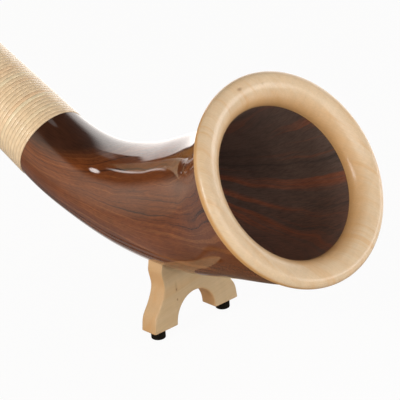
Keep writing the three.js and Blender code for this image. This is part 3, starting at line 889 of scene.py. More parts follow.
def maple(name, shades, grain, layers_scale, knot_places, gloss, warmth_and_painted_shade_by):
    """Lacquered maple: faint growth lines, fine rays and curl along a grain direction.

    The shades are its warm, body and light colours. The warm colour is also mixed in over a mask
    that the caller gives: painted shade on the ring, and end grain with painted shade on the foot.
    """
    warm, body, light = shades
    f = new_finish(name)
    turned = {"Vector": f.place(), "Rotation": grain}
    fibre = f.node("Mapping", {"vector_type": "TEXTURE"}, turned)
    warp = f.grain(fibre, (4, 18, 18))
    x, y, z = f.split(fibre)
    layers = f.noise(f.join(x * 1.5, (y + z * 0.35) * layers_scale + warp * 2.4, z * 30))
    fine = f.grain(fibre, (28, 900, 900), 3.0, 0.65)
    curl = f.grain(fibre, (130, 26, 26), distortion=0.4)
    stops = [(0.0, warm), (0.28, body), (0.75, light), (1.0, body)]
    shade = f.ramp(f.range(layers, 0.32, 0.68), stops)
    shade = f.mix(f.range(layers, 0.2, 0.8, 0.75, 0.55), shade, body)
    # Painted shade: the warm colour over the caller's mask.
    shade = f.mix(warmth_and_painted_shade_by(f), shade, warm)
    value = f.between(fine, 0.93, 1.05) * f.between(curl, 0.965, 1.03)
    shade = f.mix(knots(f, knot_places), f.tinted(shade, value), settings().colours.knot)
    rough, normal = f.between(fine, gloss + 0.12, gloss), f.bump(fine + curl * 0.6, 0.08, 0.0004)
    return f.surface(shade, rough, normal, 0.5, 0.12, 0.3)


def rim_maple_finish():
    """The ring's maple, painted darker and warmer down its flank into the bore and round its outer
    wall: painted shade.
    """

    def painted_shade_on_flanks(f):
        bell, edge = settings().bell, mouth_along()
        along, aside, up = f.split(f.attribute("wood"))
        radius = (aside * aside + up * up) ** 0.5
        # Painted shade: the warm, darker maple is mixed in down the flank into the bore, and round
        # the outer wall below.
        painted_flank_shade = f.range(radius, bell.bore_radius, bell.bore_radius + 0.014, 0.8, 0.0)
        outer = f.range(radius, bell.rim_crest_radius, bell.rim_back_radius)
        return painted_flank_shade + outer * f.fade(along, edge - 0.001, edge + 0.004)

    shades = settings().colours
    rim_shades = shades.maple_warm_grain_and_shade, shades.maple, shades.maple_light
    return maple("maple_rim", rim_shades, (0.0, 0.4, 0.6), 95, RIM_KNOTS, 0.3, painted_shade_on_flanks)


def foot_maple_finish():
    """The foot's maple, warmer on faces that look sideways, which on its cut sides is where the
    ends of the grain show, and warmer and darker on faces that look down under the arch. Inside
    the arch both are painted shade.
    """

    def end_grain_and_painted_shade(f):
        _, aside, up = f.split(f.place("Normal"))
        # Painted shade under and inside the arch: the warm colour is mixed in by how far a face
        # looks down, and by how far it looks sideways, which on the outer sides is the end grain.
        return aside * aside * 0.55 + f.maths("MAXIMUM", up * -1, 0.0) * 0.8

    shades = settings().colours
    foot_shades = shades.foot_warm_grain_and_shade, shades.foot, shades.foot_light
    return maple("maple_foot", foot_shades, (0.0, -0.16, 1.57), 70, FOOT_KNOTS, 0.42, end_grain_and_painted_shade)


def spruce_finish():
    """Oiled spruce: narrow growth lines along the tube."""
    shades = settings().colours
    f = new_finish("spruce")
    wood = f.attribute("wood")
    along, aside, up = f.split(wood)
    rings = f.noise(f.join(along * 0.8, aside * 420 + up * 90, 0.0))
    fine = f.grain(wood, (14, 800, 800), 3.0)
    shade = f.mix(f.range(rings, 0.42, 0.62), shades.spruce, shades.spruce_line)
    shade = f.tinted(shade, f.between(fine, 0.9, 1.08))
    return f.surface(shade, f.between(fine, 0.6, 0.45), f.bump(fine, 0.1, 0.0003))


def cane_finish():
    """Cane: each turn has its own tint, with long fibres and darker joints now and then.

    The strand attribute holds the length along the strand, the place across it and the
    number of the turn.
    """
    shades = settings().colours
    f = new_finish("cane")
    run, across, turn = f.split(f.attribute("strand"))
    tint = f.range(f.noise(f.join(turn * 0.9, run * 0.9, 0.0), 2.0, 0.6), 0.3, 0.7)
    warm, body, pale = shades.cane_warm, shades.cane, shades.cane_pale
    shade = f.ramp(tint, [(0.0, warm), (0.35, body), (0.65, body), (1.0, pale)])
    fibres = f.noise(f.join(run * 55, across * 5.5, turn * 7), 3.0, 0.6)
    step = f.noise(f.join(turn * 31, 0.0, 3.0), 0.0)
    value = f.between(fibres, 0.9, 1.06) * f.range(step, 0.35, 0.65, 0.93, 1.04)
    # Painted shade: each strand is up to 8 per cent darker towards its edges, in the grooves
    # between turns.
    edge = f.range(f.maths("ABSOLUTE", across), 0.8, 1.0, 1.0, 0.92, smooth=True)
    rough, normal = f.between(fibres, 0.3, 0.42), f.bump(fibres, 0.15, 0.0003)
    return f.surface(f.tinted(shade, value * edge), rough, normal, 0.9, 0.08, 0.3)


def brass_finish():
    """Polished brass with faint turning lines and handling marks."""
    f = new_finish("brass")
    along, _, _ = f.split(f.attribute("wood"))
    lines = f.noise(f.join(along * 2600, 0.0, 0.0), 1.0)
    marks = f.noise(f.place(), 3.0, scale=90.0)
    shade = f.tinted(settings().colours.brass, f.between(marks, 0.9, 1.04))
    rough = f.range(marks, 0.35, 0.7, 0.16, 0.3)
    return f.surface(shade, rough, f.bump(lines, 0.05, 0.0001), metallic=1.0)


def plain_finish(name, shade, rough, metallic=0.0, grain=700.0, depth=0.0002, shine=0.5):
    """A moulded or plated finish: one colour with fine mottling in value and gloss."""
    f = new_finish(name)
    mottle = f.noise(f.place(), 3.0, scale=grain)
    shade = f.tinted(shade, f.between(mottle, 0.85, 1.12))
    spread = f.between(mottle, rough - 0.06, rough + 0.06)
    normal = f.bump(mottle, 0.15, depth)
    return f.surface(shade, spread, normal, shine=shine, metallic=metallic)


def boxwood_finish():
    """Turned boxwood: close grain along the mouthpiece with a waxed polish."""
    f = new_finish("boxwood")
    wood = f.attribute("wood")
    fine = f.grain(wood, (60, 900, 900), 3.0)
    cloud = f.grain(wood, (40, 160, 160))
    value = f.range(fine * 0.5 + cloud * 0.5, 0.35, 0.65, 0.78, 1.16)
    shade = f.tinted(settings().colours.boxwood, value)
    return f.surface(shade, f.between(fine, 0.34, 0.24), None, 0.4, 0.1)


# Operators


class HornOperator(bpy.types.Operator):
    """Shared parts of the operators."""

    bl_options = {"REGISTER", "UNDO"}

    @classmethod
    def poll(cls, context):
        """The horn's settings have to be there."""
        return hasattr(context.scene, "alphorn")


class ALPHORN_OT_bell(HornOperator):
    """Adds the two carved halves of the walnut bell."""

    bl_idname = "alphorn.bell"
    bl_label = "Bell"

    def execute(self, context):
        outline, bore = bell_outline()
        finishes = walnut_finish(), walnut_bore_finish()
        for name, side in SIDES:
            node = f"bell_{name}_half"
            piece = Piece(f"walnut_{node}", "bell_section", "walnut", [node], *finishes)
            piece.half_shell(outline, side, bore=bore)
        return {"FINISHED"}


def bell_outline():
    """The bell's closed outline as (along, radius), and whether each point is bore.

    Up the neck, along the swelling outside, round the rim ring's seat, and back along
    the bore to the neck's socket for the tube.
    """
    bell, tube = settings().bell, settings().tube
    end = bend_length()
    spigot = tube_bore(bell.neck - bell.neck_socket) + bell.neck_spigot_wall + tube.glue_gap
    seat = bell.bore_radius + bell.rim_spigot_wall + tube.glue_gap
    outer_stations = np.linspace(0, end + rim_seat(), BELL_STEPS + 1)
    bore_stations = np.linspace(end, 0, BORE_STEPS + 1)
    start = [[-bell.neck, tube_outer(bell.neck)], [-tube.glue_gap, tube_outer(0)]]
    outer = np.stack([outer_stations, bell_outer(outer_stations)], -1)
    seat_corners = [[end + rim_seat(), seat], [end, seat]]
    bore = np.stack([bore_stations, bell_bore(bore_stations)], -1)
    floor = bell.neck_socket - bell.neck
    socket = [[floor, tube_bore(-floor)], [floor, spigot], [-bell.neck, spigot]]
    outside = np.vstack([start, outer, seat_corners])
    outline = np.vstack([outside, bore, socket])
    return outline, np.arange(len(outline)) >= len(outside)


class ALPHORN_OT_rim(HornOperator):
    """Adds the turned maple ring round the mouth."""

    bl_idname = "alphorn.rim"
    bl_label = "Rim ring"

    def execute(self, context):
        bell, tube = settings().bell, settings().tube
        spigot = bell.bore_radius + bell.rim_spigot_wall
        back = [bell.rim_back_radius, tube.glue_gap - bell.rim_back_depth]
        edge = [bell.rim_radius, 0]
        crest = [bell.rim_crest_radius, bell.rim_crest_height]
        bore = [bell.bore_radius, -bell.rim_bore_depth]
        curves = np.vstack(
            [
                [[spigot, -bell.rim_bore_depth], [spigot, back[1]], back],
                quarter(back, edge, True),
                quarter(edge, crest, False),
                quarter(crest, bore, True, 2 * CURVE_STEPS),
            ]
        )
        outline = np.stack([mouth_along() + curves[:, 1], curves[:, 0]], -1)
        piece = Piece("maple_rim_ring", "bell_section", "maple", ["rim_ring"], rim_maple_finish())
        piece.turned(outline, AROUND_RIM)
        return {"FINISHED"}


def joint(height):
    """Heights and radii of the brass sleeves at a joint, from the bore there outwards."""
    tube = settings().tube
    tip = height - tube.tenon_reach
    spigot = tube_bore(tip) + tube.spigot_wall
    tenon_inner = spigot + tube.glue_gap
    tenon_outer = tenon_inner + tube.tenon_wall
    socket_inner = tenon_outer + tube.slide_gap
    return SimpleNamespace(
        height=height,
        tip=tip,
        seat=tip - tube.sleeve_seat,
        spigot=spigot,
        tenon_inner=tenon_inner,
        tenon_outer=tenon_outer,
        socket_inner=socket_inner,
        socket_outer=socket_inner + tube.socket_wall,
        grooves=[tip + tube.tenon_reach * share for share in GROOVE_SHARES],
    )


def joints():
    """The lower and the upper joint of the tube."""
    tube = settings().tube
    return joint(tube.bell_tube), joint(tube.bell_tube + tube.middle_tube)


def tube_runs():
    """Each tube's name and body, and the lowest and highest height of its cane."""
    tube, (low, high) = settings().tube, joints()
    above = tube.sleeve_seat + tube.glue_gap
    hand_top = tube_length() - settings().end.receiver_flange - tube.glue_gap
    return [
        ("bell_tube", "bell_section", tube.glue_gap, low.seat),
        ("middle_tube", "middle_section", low.height + above, high.seat),
        ("hand_tube", "hand_section", high.height + above, hand_top),
    ]


def up_tube(outline):
    """Turns (radius, height) into (along, radius), in the order that faces outwards."""
    radius, height = np.asarray(outline).T
    return np.stack([-height, radius], -1)[::-1]


class ALPHORN_OT_tubes(HornOperator):
    """Adds the wooden halves of the three tubes."""

    bl_idname = "alphorn.tubes"
    bl_label = "Wooden tubes"

    def execute(self, context):
        tube, bell = settings().tube, settings().bell
        low, high = joints()
        neck = bell.neck - bell.neck_socket
        runs, spruce = tube_runs(), spruce_finish()
        ends = [
            (neck + tube.glue_gap, tube_bore(neck) + bell.neck_spigot_wall, socket_end(low)),
            (low.tip, low.spigot, socket_end(high)),
            (high.tip, high.spigot, receiver_end(runs[-1][-1])),
        ]
        for (section, body, bottom, top), (tip, spigot, upper) in zip(runs, ends):
            shoulder = bottom + (bell.neck if section == "bell_tube" else 0)
            heights = np.linspace(shoulder, top, CURVE_STEPS)
            outside = np.stack([tube_outer(heights), heights], -1)
            depths = np.linspace(upper[0][1], tip, CURVE_STEPS)
            bore = np.stack([tube_bore(depths), depths], -1)
            start = [[spigot, tip], [spigot, shoulder]]
            outline = up_tube(np.vstack([start, outside, upper[:0:-1], bore]))
            for name, side in SIDES:
                node = f"{section}_{name}_half"
                piece = Piece(f"wood_{node}", body, "spruce", [node], spruce)
                piece.half_shell(outline, side, HALF_TURN_STEPS // 2)
        return {"FINISHED"}


def socket_end(sizes):
    """The spigot of wood inside a socket's seat, from the bore outwards."""
    gap = settings().tube.glue_gap
    top, radius = sizes.tip - gap, sizes.socket_inner - gap
    return [[tube_bore(top), top], [radius, top], [radius, sizes.seat]]


def receiver_end(top):
    """The wood's seat for the mouthpiece's receiver, from the bore outwards."""
    end, gap = settings().end, settings().tube.glue_gap
    floor = tube_length() - end.receiver_depth - gap
    radius = end.shank_mouth + end.receiver_wall + 2 * gap
    return [[tube_bore(floor), floor], [radius, floor], [radius, top]]


class ALPHORN_OT_cane(HornOperator):
    """Winds the cane on the three tubes."""

    bl_idname = "alphorn.cane"
    bl_label = "Cane"

    def execute(self, context):
        cane = cane_finish()
        for (section, body, bottom, top), around in zip(tube_runs(), AROUND_CANE):
            nodes = [f"{section}_cane"]
            if section == "bell_tube":
                nodes.append("bell_tube_cane_turns")
            places, strand = wound_strand(bottom, top, around)
            faces = lofted(*places.shape[:2], flipped=True)
            piece = Piece(f"cane_strand_{section}", body, "cane", nodes, cane)
            piece.build(places, faces, CANE_SHARP, strand=strand)
        return {"FINISHED"}


def wound_strand(bottom, top, around):
    """One strand of cane wound from a bottom height to a top height.

    The strand's middle climbs a pitch in each turn, and its two edges lie half a pitch
    below and above it, held between the two heights, so that its ends taper away under
    square edges. Over its width its height is a flat dome of shares of its thickness.
    The second array is the strand attribute.
    """
    tube = settings().tube
    pitch = tube.cane_pitch
    turns = (top - bottom) / pitch + 1
    turn = np.linspace(0, turns, int(turns * around) + 1)[:, None]
    middle = bottom - pitch / 2 + pitch * turn
    lower = np.clip(middle - pitch / 2, bottom, top)
    upper = np.clip(middle + pitch / 2, bottom, top)
    fullness = np.clip((upper - lower) / pitch, 0.02, 1)
    half_width = fullness * pitch / 2 - tube.cane_gap * fullness / 2
    centre = np.clip((lower + upper) / 2, bottom + half_width, top - half_width)
    height = centre + half_width * CANE_ACROSS_SHARES
    rise = tube.cane_thickness * np.minimum(1, 1.4 * fullness) * CANE_HEIGHT_SHARES
    radius = cane_inner(height) + rise
    point, up = axis_at(-height)
    round_tube = 2 * math.pi * turn
    places = point + (radius * np.cos(round_tube))[..., None] * up
    places = places + (radius * np.sin(round_tube))[..., None] * SIDEWAYS
    steps = np.diff(round_tube, axis=0) * radius[1:, :1]
    run = np.concatenate([[[0]], np.cumsum(steps, axis=0)])
    strand = np.broadcast_arrays(run, CANE_ACROSS_SHARES, turn)
    return places, np.stack(strand, -1)


class ALPHORN_OT_brass(HornOperator):
    """Adds the brass sockets, tenons and the mouthpiece receiver."""

    bl_idname = "alphorn.brass"
    bl_label = "Brass sleeves"

    def execute(self, context):
        low, high = joints()
        sleeves = [
            ("lower_socket", "bell_section", socket_outline(low)),
            ("upper_socket", "middle_section", socket_outline(high)),
            ("middle_tenon", "middle_section", tenon_outline(low)),
            ("hand_tenon", "hand_section", tenon_outline(high)),
            ("mouthpiece_receiver", "hand_section", receiver_outline()),
        ]
        brass = brass_finish()
        for node, body, outline in sleeves:
            rounded = softened(np.array(outline), settings().tube.bead_height * 0.6)
            Piece(f"brass_{node}", body, "brass", [node], brass).turned(up_tube(rounded))
        return {"FINISHED"}


def sleeve(inner, bottom, *steps):
    """A sleeve's outline as (radius, height): its bore, its bottom, and the radius and top
    of each step of its outside, from the bottom up."""
    corners = [[inner, bottom]]
    for radius, top in steps:
        corners += [[radius, bottom], [radius, top]]
        bottom = top
    return [*corners, [inner, bottom]]


def socket_outline(sizes):
    """A sleeve over the lower tube's end, with a bead round its mouth."""
    tube = settings().tube
    mouth = sizes.height - tube.glue_gap
    outside = (sizes.socket_outer, mouth - tube.bead_length)
    bead = (sizes.socket_outer + tube.bead_height, mouth)
    return sleeve(sizes.socket_inner, sizes.seat, outside, bead)


def tenon_outline(sizes):
    """A sleeve over the upper tube's spigot, with two grooves and a stop bead."""
    tube, outer = settings().tube, sizes.tenon_outer
    half_groove = tube.o_ring_radius + tube.glue_gap
    floor = sizes.socket_inner - tube.o_ring_gap - 2 * tube.o_ring_radius - tube.glue_gap
    grooves = []
    for middle in sizes.grooves:
        grooves += [(outer, middle - half_groove), (floor, middle + half_groove)]
    bead = (sizes.socket_outer + tube.bead_height, sizes.height + tube.bead_length)
    seat = (sizes.socket_outer, sizes.height + tube.sleeve_seat)
    return sleeve(sizes.tenon_inner, sizes.tip, *grooves, (outer, sizes.height), bead, seat)


def receiver_outline():
    """A sleeve with a flange, bored to the taper of the mouthpiece's shank."""
    end, gap, top = settings().end, settings().tube.glue_gap, tube_length()
    inner = end.shank_tip + gap
    outside = (end.shank_mouth + gap + end.receiver_wall, top - end.receiver_flange)
    flange = (cane_inner(top) + settings().tube.cane_thickness, top)
    corners = sleeve(inner, top - end.receiver_depth, outside, flange)
    return [*corners[:-1], [end.shank_mouth + gap, top], [inner, top - end.shank_depth]]


class ALPHORN_OT_o_rings(HornOperator):
    """Adds the four O-rings of the tenons."""

    bl_idname = "alphorn.o_rings"
    bl_label = "O-rings"

    def execute(self, context):
        tube = settings().tube
        section = full_turn(AROUND_SMALL // 2)
        rubber = plain_finish("o_ring", settings().colours.rubber, 0.35, depth=0.0001)
        for tenon, sizes in zip(("middle", "hand"), joints()):
            centre = sizes.socket_inner - tube.o_ring_gap - tube.o_ring_radius
            for place, middle in zip(("lower", "upper"), sizes.grooves):
                node = f"{tenon}_tenon_o_ring_{place}"
                along = -middle - tube.o_ring_radius * np.cos(section)
                radius = centre + tube.o_ring_radius * np.sin(section)
                piece = Piece(f"rubber_{node}", f"{tenon}_o_rings", "rubber", [node], rubber)
                piece.turned(np.stack([along, radius], -1))
        return {"FINISHED"}


class ALPHORN_OT_mouthpiece(HornOperator):
    """Adds the turned mouthpiece."""

    bl_idname = "alphorn.mouthpiece"
    bl_label = "Mouthpiece"

    def execute(self, context):
        end = settings().end
        shank_bore = [end.shank_bore, -end.shank_depth]
        shank_tip = [end.shank_tip, -end.shank_depth]
        stem = [end.stem_radius, end.stem]
        rim_outer = [end.radius, end.reach - end.edge]
        rim_top = [end.radius - end.edge, end.reach]
        cup_edge = [end.cup_radius, end.reach - end.edge]
        throat = [end.throat, end.reach - end.cup_depth]
        curves = np.vstack(
            [
                [shank_bore, shank_tip, [end.shank_mouth, 0], stem],
                quarter(stem, rim_outer, False),
                quarter(rim_outer, rim_top, False),
                quarter(rim_top, cup_edge, True),
                quarter(cup_edge, throat, False),
            ]
        )
        curves[:, 1] += tube_length()
        piece = Piece("wood_mouthpiece", "mouthpiece", "boxwood", ["mouthpiece"], boxwood_finish())
        piece.turned(up_tube(curves))
        return {"FINISHED"}


class ALPHORN_OT_foot(HornOperator):
    """Adds the maple foot block, and gives its dowels their wood."""

    bl_idname = "alphorn.foot"
    bl_label = "Foot"

    def execute(self, context):
        places, used = foot_surface(), foot_maple_finish()
        faces = lofted(*places.shape[:2], flipped=True)
        piece = Piece("maple_foot_block", "bell_section", "maple", ["foot_block"], used)
        piece.build(places, faces, FOOT_SHARP)
        for side, _ in SIDES:
            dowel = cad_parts[f"foot_dowel_{side}"]
            dowel.data.materials.clear()
            dowel.data.materials.append(used)
        return {"FINISHED"}


def foot_section():
    """The foot's section, as one closed loop of points from the arch to the outside on
    the front face and back on the other.

    Each point has the face it is on, the share of the way from the arch to the outside,
    and how far its rounded corner sets it back from the face and from that share's end,
    in radii of the corner.
    """
    corner = np.linspace(0, math.pi / 2, 5)
    share = np.linspace(0, 1, 7)[1:-1]
    rise, fall, flat = 1 - np.sin(corner), 1 - np.cos(corner), 0 * share
    face = np.repeat([1, -1], 2 * len(corner) + len(share))
    upwards = np.concatenate([0 * corner, share, 0 * corner + 1])
    from_face = np.tile(np.concatenate([rise, flat, fall]), 2)
    from_end = np.tile(np.concatenate([fall, flat, rise]), 2)
    return face, np.concatenate([upwards, upwards[::-1]]), from_face, from_end


def foot_surface():
    """The foot: a rounded section carried from one sole over the arch to the other.

    At each step a section runs from a point of the arch to a point of the outside, which
    is the saddle under the bell and then the leg's side. The section is a rectangle with
    rounded corners, the board's thickness across. The left half mirrors the right half.
    """
    foot = settings().foot
    half, seat = foot.thickness / 2, foot.saddle_half_width
    sole = foot.edge / 2
    bottom = foot.underside + sole
    saddle_top = bell_underside(FOOT_X, seat)
    leg_height = bottom + (saddle_top - bottom) * LEG_HEIGHT_SHARES
    leg = [[seat, saddle_top], *zip(foot.half_width * LEG_WIDTH_SHARES, leg_height)]
    leg_y, leg_z = through_points(leg, LEG_STEPS).T
    saddle_y = np.linspace(0, seat, SADDLE_STEPS, endpoint=False)
    outer_y = np.concatenate([saddle_y, leg_y])[:, None]
    step = np.arange(len(outer_y))[:, None]
    turn = np.linspace(0, math.pi / 2, len(outer_y))[:, None]
    arch_y = foot.arch_half_width * np.sin(turn)
    arch_z = bottom + (foot.arch_height - sole) * np.cos(turn)

    # The corner's radius is small under the bell and grows down the leg
    face, share, from_face, from_end = foot_section()
    down_leg = np.clip((step - SADDLE_STEPS) / (LEG_FADE * LEG_STEPS), 0, 1)
    grown = np.clip(down_leg * 3, 0, 1)
    radius = foot.edge * (SADDLE_CORNER + (1 - SADDLE_CORNER) * grown)
    outer_radius = np.where(share > 0.5, radius, foot.edge)
    x = FOOT_X + face * (half - from_face * outer_radius)

    # The saddle follows the bell's underside, and the leg's top still leans with it
    saddle_z = bell_underside(x, np.minimum(outer_y, seat))
    lean = saddle_z - bell_underside(FOOT_X, np.minimum(outer_y, seat))
    side_z = np.concatenate([0 * saddle_y, leg_z])[:, None] + lean * (1 - down_leg)
    outer_z = np.where(step < SADDLE_STEPS, saddle_z - foot.edge * 0.02, side_z)
    dy, dz = outer_y - arch_y, outer_z - arch_z
    span = np.hypot(dy, dz)
    inwards = np.where(share < 0.5, 1.0, -1.0)
    reach = np.where(
        (share > 0) & (share < 1),
        foot.edge + share * (span - foot.edge - radius),
        share * span + inwards * from_end * outer_radius,
    )
    right = np.stack([x, arch_y + dy * reach / span, arch_z + dz * reach / span], -1)

    # The sole's edge is a quarter of a circle in three steps
    closing = np.linspace(0, math.pi / 2, 4)[1:, None, None]
    middle = right[-1].mean(axis=0)
    soles = middle + (right[-1] - middle) * (1 - sole * (1 - np.cos(closing)) / half)
    soles[..., 2] = bottom - sole * np.sin(closing[..., 0])
    right = np.concatenate([right, soles])
    return np.concatenate([right[:0:-1] * np.array([1, -1, 1]), right])


class ALPHORN_OT_rubber_feet(HornOperator):
    """Adds the rubber feet and the screws that hold them."""

    bl_idname = "alphorn.rubber_feet"
    bl_label = "Rubber feet"

    def execute(self, context):
        foot, gap, shades = settings().foot, settings().tube.glue_gap, settings().colours
        rubber = plain_finish("rubber", shades.rubber, 0.55, shine=0.12)
        steel = plain_finish("steel", shades.steel, 0.32, 1.0, 1500.0, 0.0001)
        top = foot.underside - gap / 4
        recess, shank = foot.head_radius + gap, foot.screw_radius + gap
        inner = foot.rubber_radius - foot.rubber_edge
        ceiling = [[foot.rubber_radius, top], [shank, top]]
        hole = [[shank, foot.recess], [recess, foot.recess]]
        edge = quarter([inner, 0], [foot.rubber_radius, foot.rubber_edge], True)
        radius, height = np.vstack([[[recess, 0], [inner, 0]], edge, ceiling, hole]).T
        for name, side in SIDES:
            aside = side * foot.rubber_spacing
            node = f"rubber_foot_{name}"
            piece = Piece(f"black_{node}", "bell_section", "rubber", [node], rubber)
            piece.ring(upright_course(height, radius, aside))
            node = f"foot_screw_{name}"
            piece = Piece(f"steel_{node}", "bell_section", "steel", [node], steel)
            places = screw_surface(aside)
            piece.build(places, lofted(*places.shape[:2], flipped=True))
        return {"FINISHED"}


def screw_surface(aside):
    """A screw: a crowned head with a cross recess, a shank with a thread, and a point.

    The recess's radius at a turn is that of a rounded cross: its arm's half width over
    the larger of a floor and the sine of twice the turn. The thread's crest is a ridge
    whose height follows the cosine of the height over the pitch less the turn.
    """
    foot = settings().foot
    head_top = foot.recess - settings().tube.glue_gap
    tip = foot.underside + foot.screw_in_foot
    turns = full_turn(AROUND_SMALL)[:, None]
    cross = 1 / np.maximum(CROSS_FLOOR, np.abs(np.sin(2 * turns)))
    share, width, crossed = SCREW_HEAD.T
    head_height = head_top + (share - 1) * foot.head_height
    head_radius = width * foot.head_radius * np.where(crossed, cross, 1)
    pitch = foot.screw_radius * THREAD_PITCH
    shank_height = np.linspace(head_top, tip - foot.screw_tip, SHANK_STEPS)
    wave = np.cos(2 * math.pi * shank_height / pitch - turns)
    ridge = 1 - THREAD_DEPTH + THREAD_DEPTH * wave
    point_radius = np.array([0.4, 0.06]) * foot.screw_radius + 0 * turns
    height = np.concatenate([head_height, shank_height, [tip - foot.screw_tip * 0.5, tip]])
    radius = np.hstack([head_radius, foot.screw_radius * ridge, point_radius])
    return upright_course(height, radius, aside).transpose(1, 0, 2)


class ALPHORN_OT_stage(HornOperator):
    """Adds the camera, the lamps, the pale floor and the world."""

    bl_idname = "alphorn.stage"
    bl_label = "Stage"

    def execute(self, context):
        add_camera()
        add_floor()
        add_painted_shadow()
        add_world()
        add_lamps()
        context.scene.view_settings.view_transform = "Standard"
        return {"FINISHED"}


def direction(azimuth, elevation):
    """Unit vector at an azimuth from +X towards +Y and an elevation, in radians."""
    flat = math.cos(elevation)
    return Vector((flat * math.cos(azimuth), flat * math.sin(azimuth), math.sin(elevation)))


def add_camera():
    """The camera looks at its target from its azimuth and elevation, then is rolled.

    Its azimuth is counted from -Y towards +X.
    """
    stage = settings().stage
    back = direction(stage.azimuth - math.pi / 2, stage.elevation)
    right = Vector((math.cos(stage.azimuth), math.sin(stage.azimuth), 0))
    up = back.cross(right)
    rolled_right = right * math.cos(stage.roll) + up * math.sin(stage.roll)
    rolled_up = up * math.cos(stage.roll) - right * math.sin(stage.roll)
    target = Vector((FOOT_X + stage.target_reach, 0, stage.target_height))
    camera = bpy.data.cameras.new("camera")
    camera.lens = stage.field * camera.sensor_width
    holder = into_scene("camera", camera)
    turned = Matrix((rolled_right, rolled_up, back)).transposed()
    holder.matrix_world = Matrix.Translation(target + back * stage.distance) @ turned.to_4x4()
    bpy.context.scene.camera = holder


def unseen_rays(f):
    """1 for the camera's rays and those through clear pieces, and 0 for all others."""
    rays = f.outputs(f.node("LightPath"), "Is Camera Ray", "Is Transmission Ray")
    return f.maths("ADD", *rays, clamp=True)


def sheet(name, low, high, half_width, height, material):
    """A level rectangle from a low x to a high x."""
    corners = [[low, -half_width], [high, -half_width], [high, half_width], [low, half_width]]
    mesh = bpy.data.meshes.new(name)
    mesh.from_pydata([[*corner, height] for corner in corners], [], [[0, 1, 2, 3]])
    mesh.materials.append(material)
    return into_scene(name, mesh)


def add_floor():
    """A wide pale floor. To the camera it is mostly plain white, and the rest is lit, so
    that it keeps the horn's shadow. What the lacquer mirrors below the horizon is the
    studio's lower half, in the world."""
    stage = settings().stage
    f = new_finish("floor")
    x, y, _ = f.split(f.place())
    away = (x * x * 0.3 + y * y) ** 0.5
    plain = f.range(away, 1.0, 3.0, stage.whiteness, 1.0, smooth=True)
    lit = f.node("BsdfDiffuse", None, {"Color": (*stage.floor, 1)})
    material = f.mixed_surface(unseen_rays(f) * plain, lit, f.glow((1, 1, 1)))
    reach = stage.floor_reach
    floor = sheet("floor", -reach, reach, reach, 0, material)
    floor.visible_glossy = False


def add_painted_shadow():
    """A dark brown sheet on the floor under the bell's mouth that glows in its own colour, fading
    at its edge: painted shade, standing in for the floor's shade there. Only gloss shows it: it
    keeps the white floor out of the lacquer of the bell's underside, in front of the foot."""
    stage = settings().stage
    near, far = FOOT_X - stage.painted_shadow_behind, FOOT_X + stage.painted_shadow_ahead
    f = new_finish("painted_shadow")
    x, y, _ = f.split(f.place())
    ahead = (x - (near + far) / 2) / ((far - near) / 2)
    aside = y / stage.painted_shadow_half_width
    there = f.fade((ahead * ahead + aside * aside) ** 0.5, 0.5, 1.0)
    # Painted shade: the sheet glows in its dark brown and fades to clear at its edge.
    material = f.mixed_surface(there, f.node("BsdfTransparent"), f.glow(stage.painted_shadow))
    painted_shadow = sheet("painted_shadow", near, far, stage.painted_shadow_half_width, stage.painted_shadow_height, material)
    painted_shadow.visible_camera = painted_shadow.visible_diffuse = painted_shadow.visible_shadow = False


def spot(f, towards, azimuth, elevation, radius, brightness):
    """A soft round lamp in the studio: bright within its radius, fading at its edge."""
    centre = direction(math.radians(azimuth), math.radians(elevation))
    nearness = f.vector("DOT_PRODUCT", towards, centre, output="Value")
    outer, inner = math.cos(math.radians(radius * 1.25)), math.cos(math.radians(radius * 0.6))
    return f.range(nearness, outer, inner, 0.0, brightness, smooth=True)


def dark_line(f, azimuth, middle, core, edge):
    """1 within a core of a middle azimuth, down to 0 at an edge."""
    return f.range(f.maths("ABSOLUTE", azimuth - middle), core, edge, 1.0, 0.0)


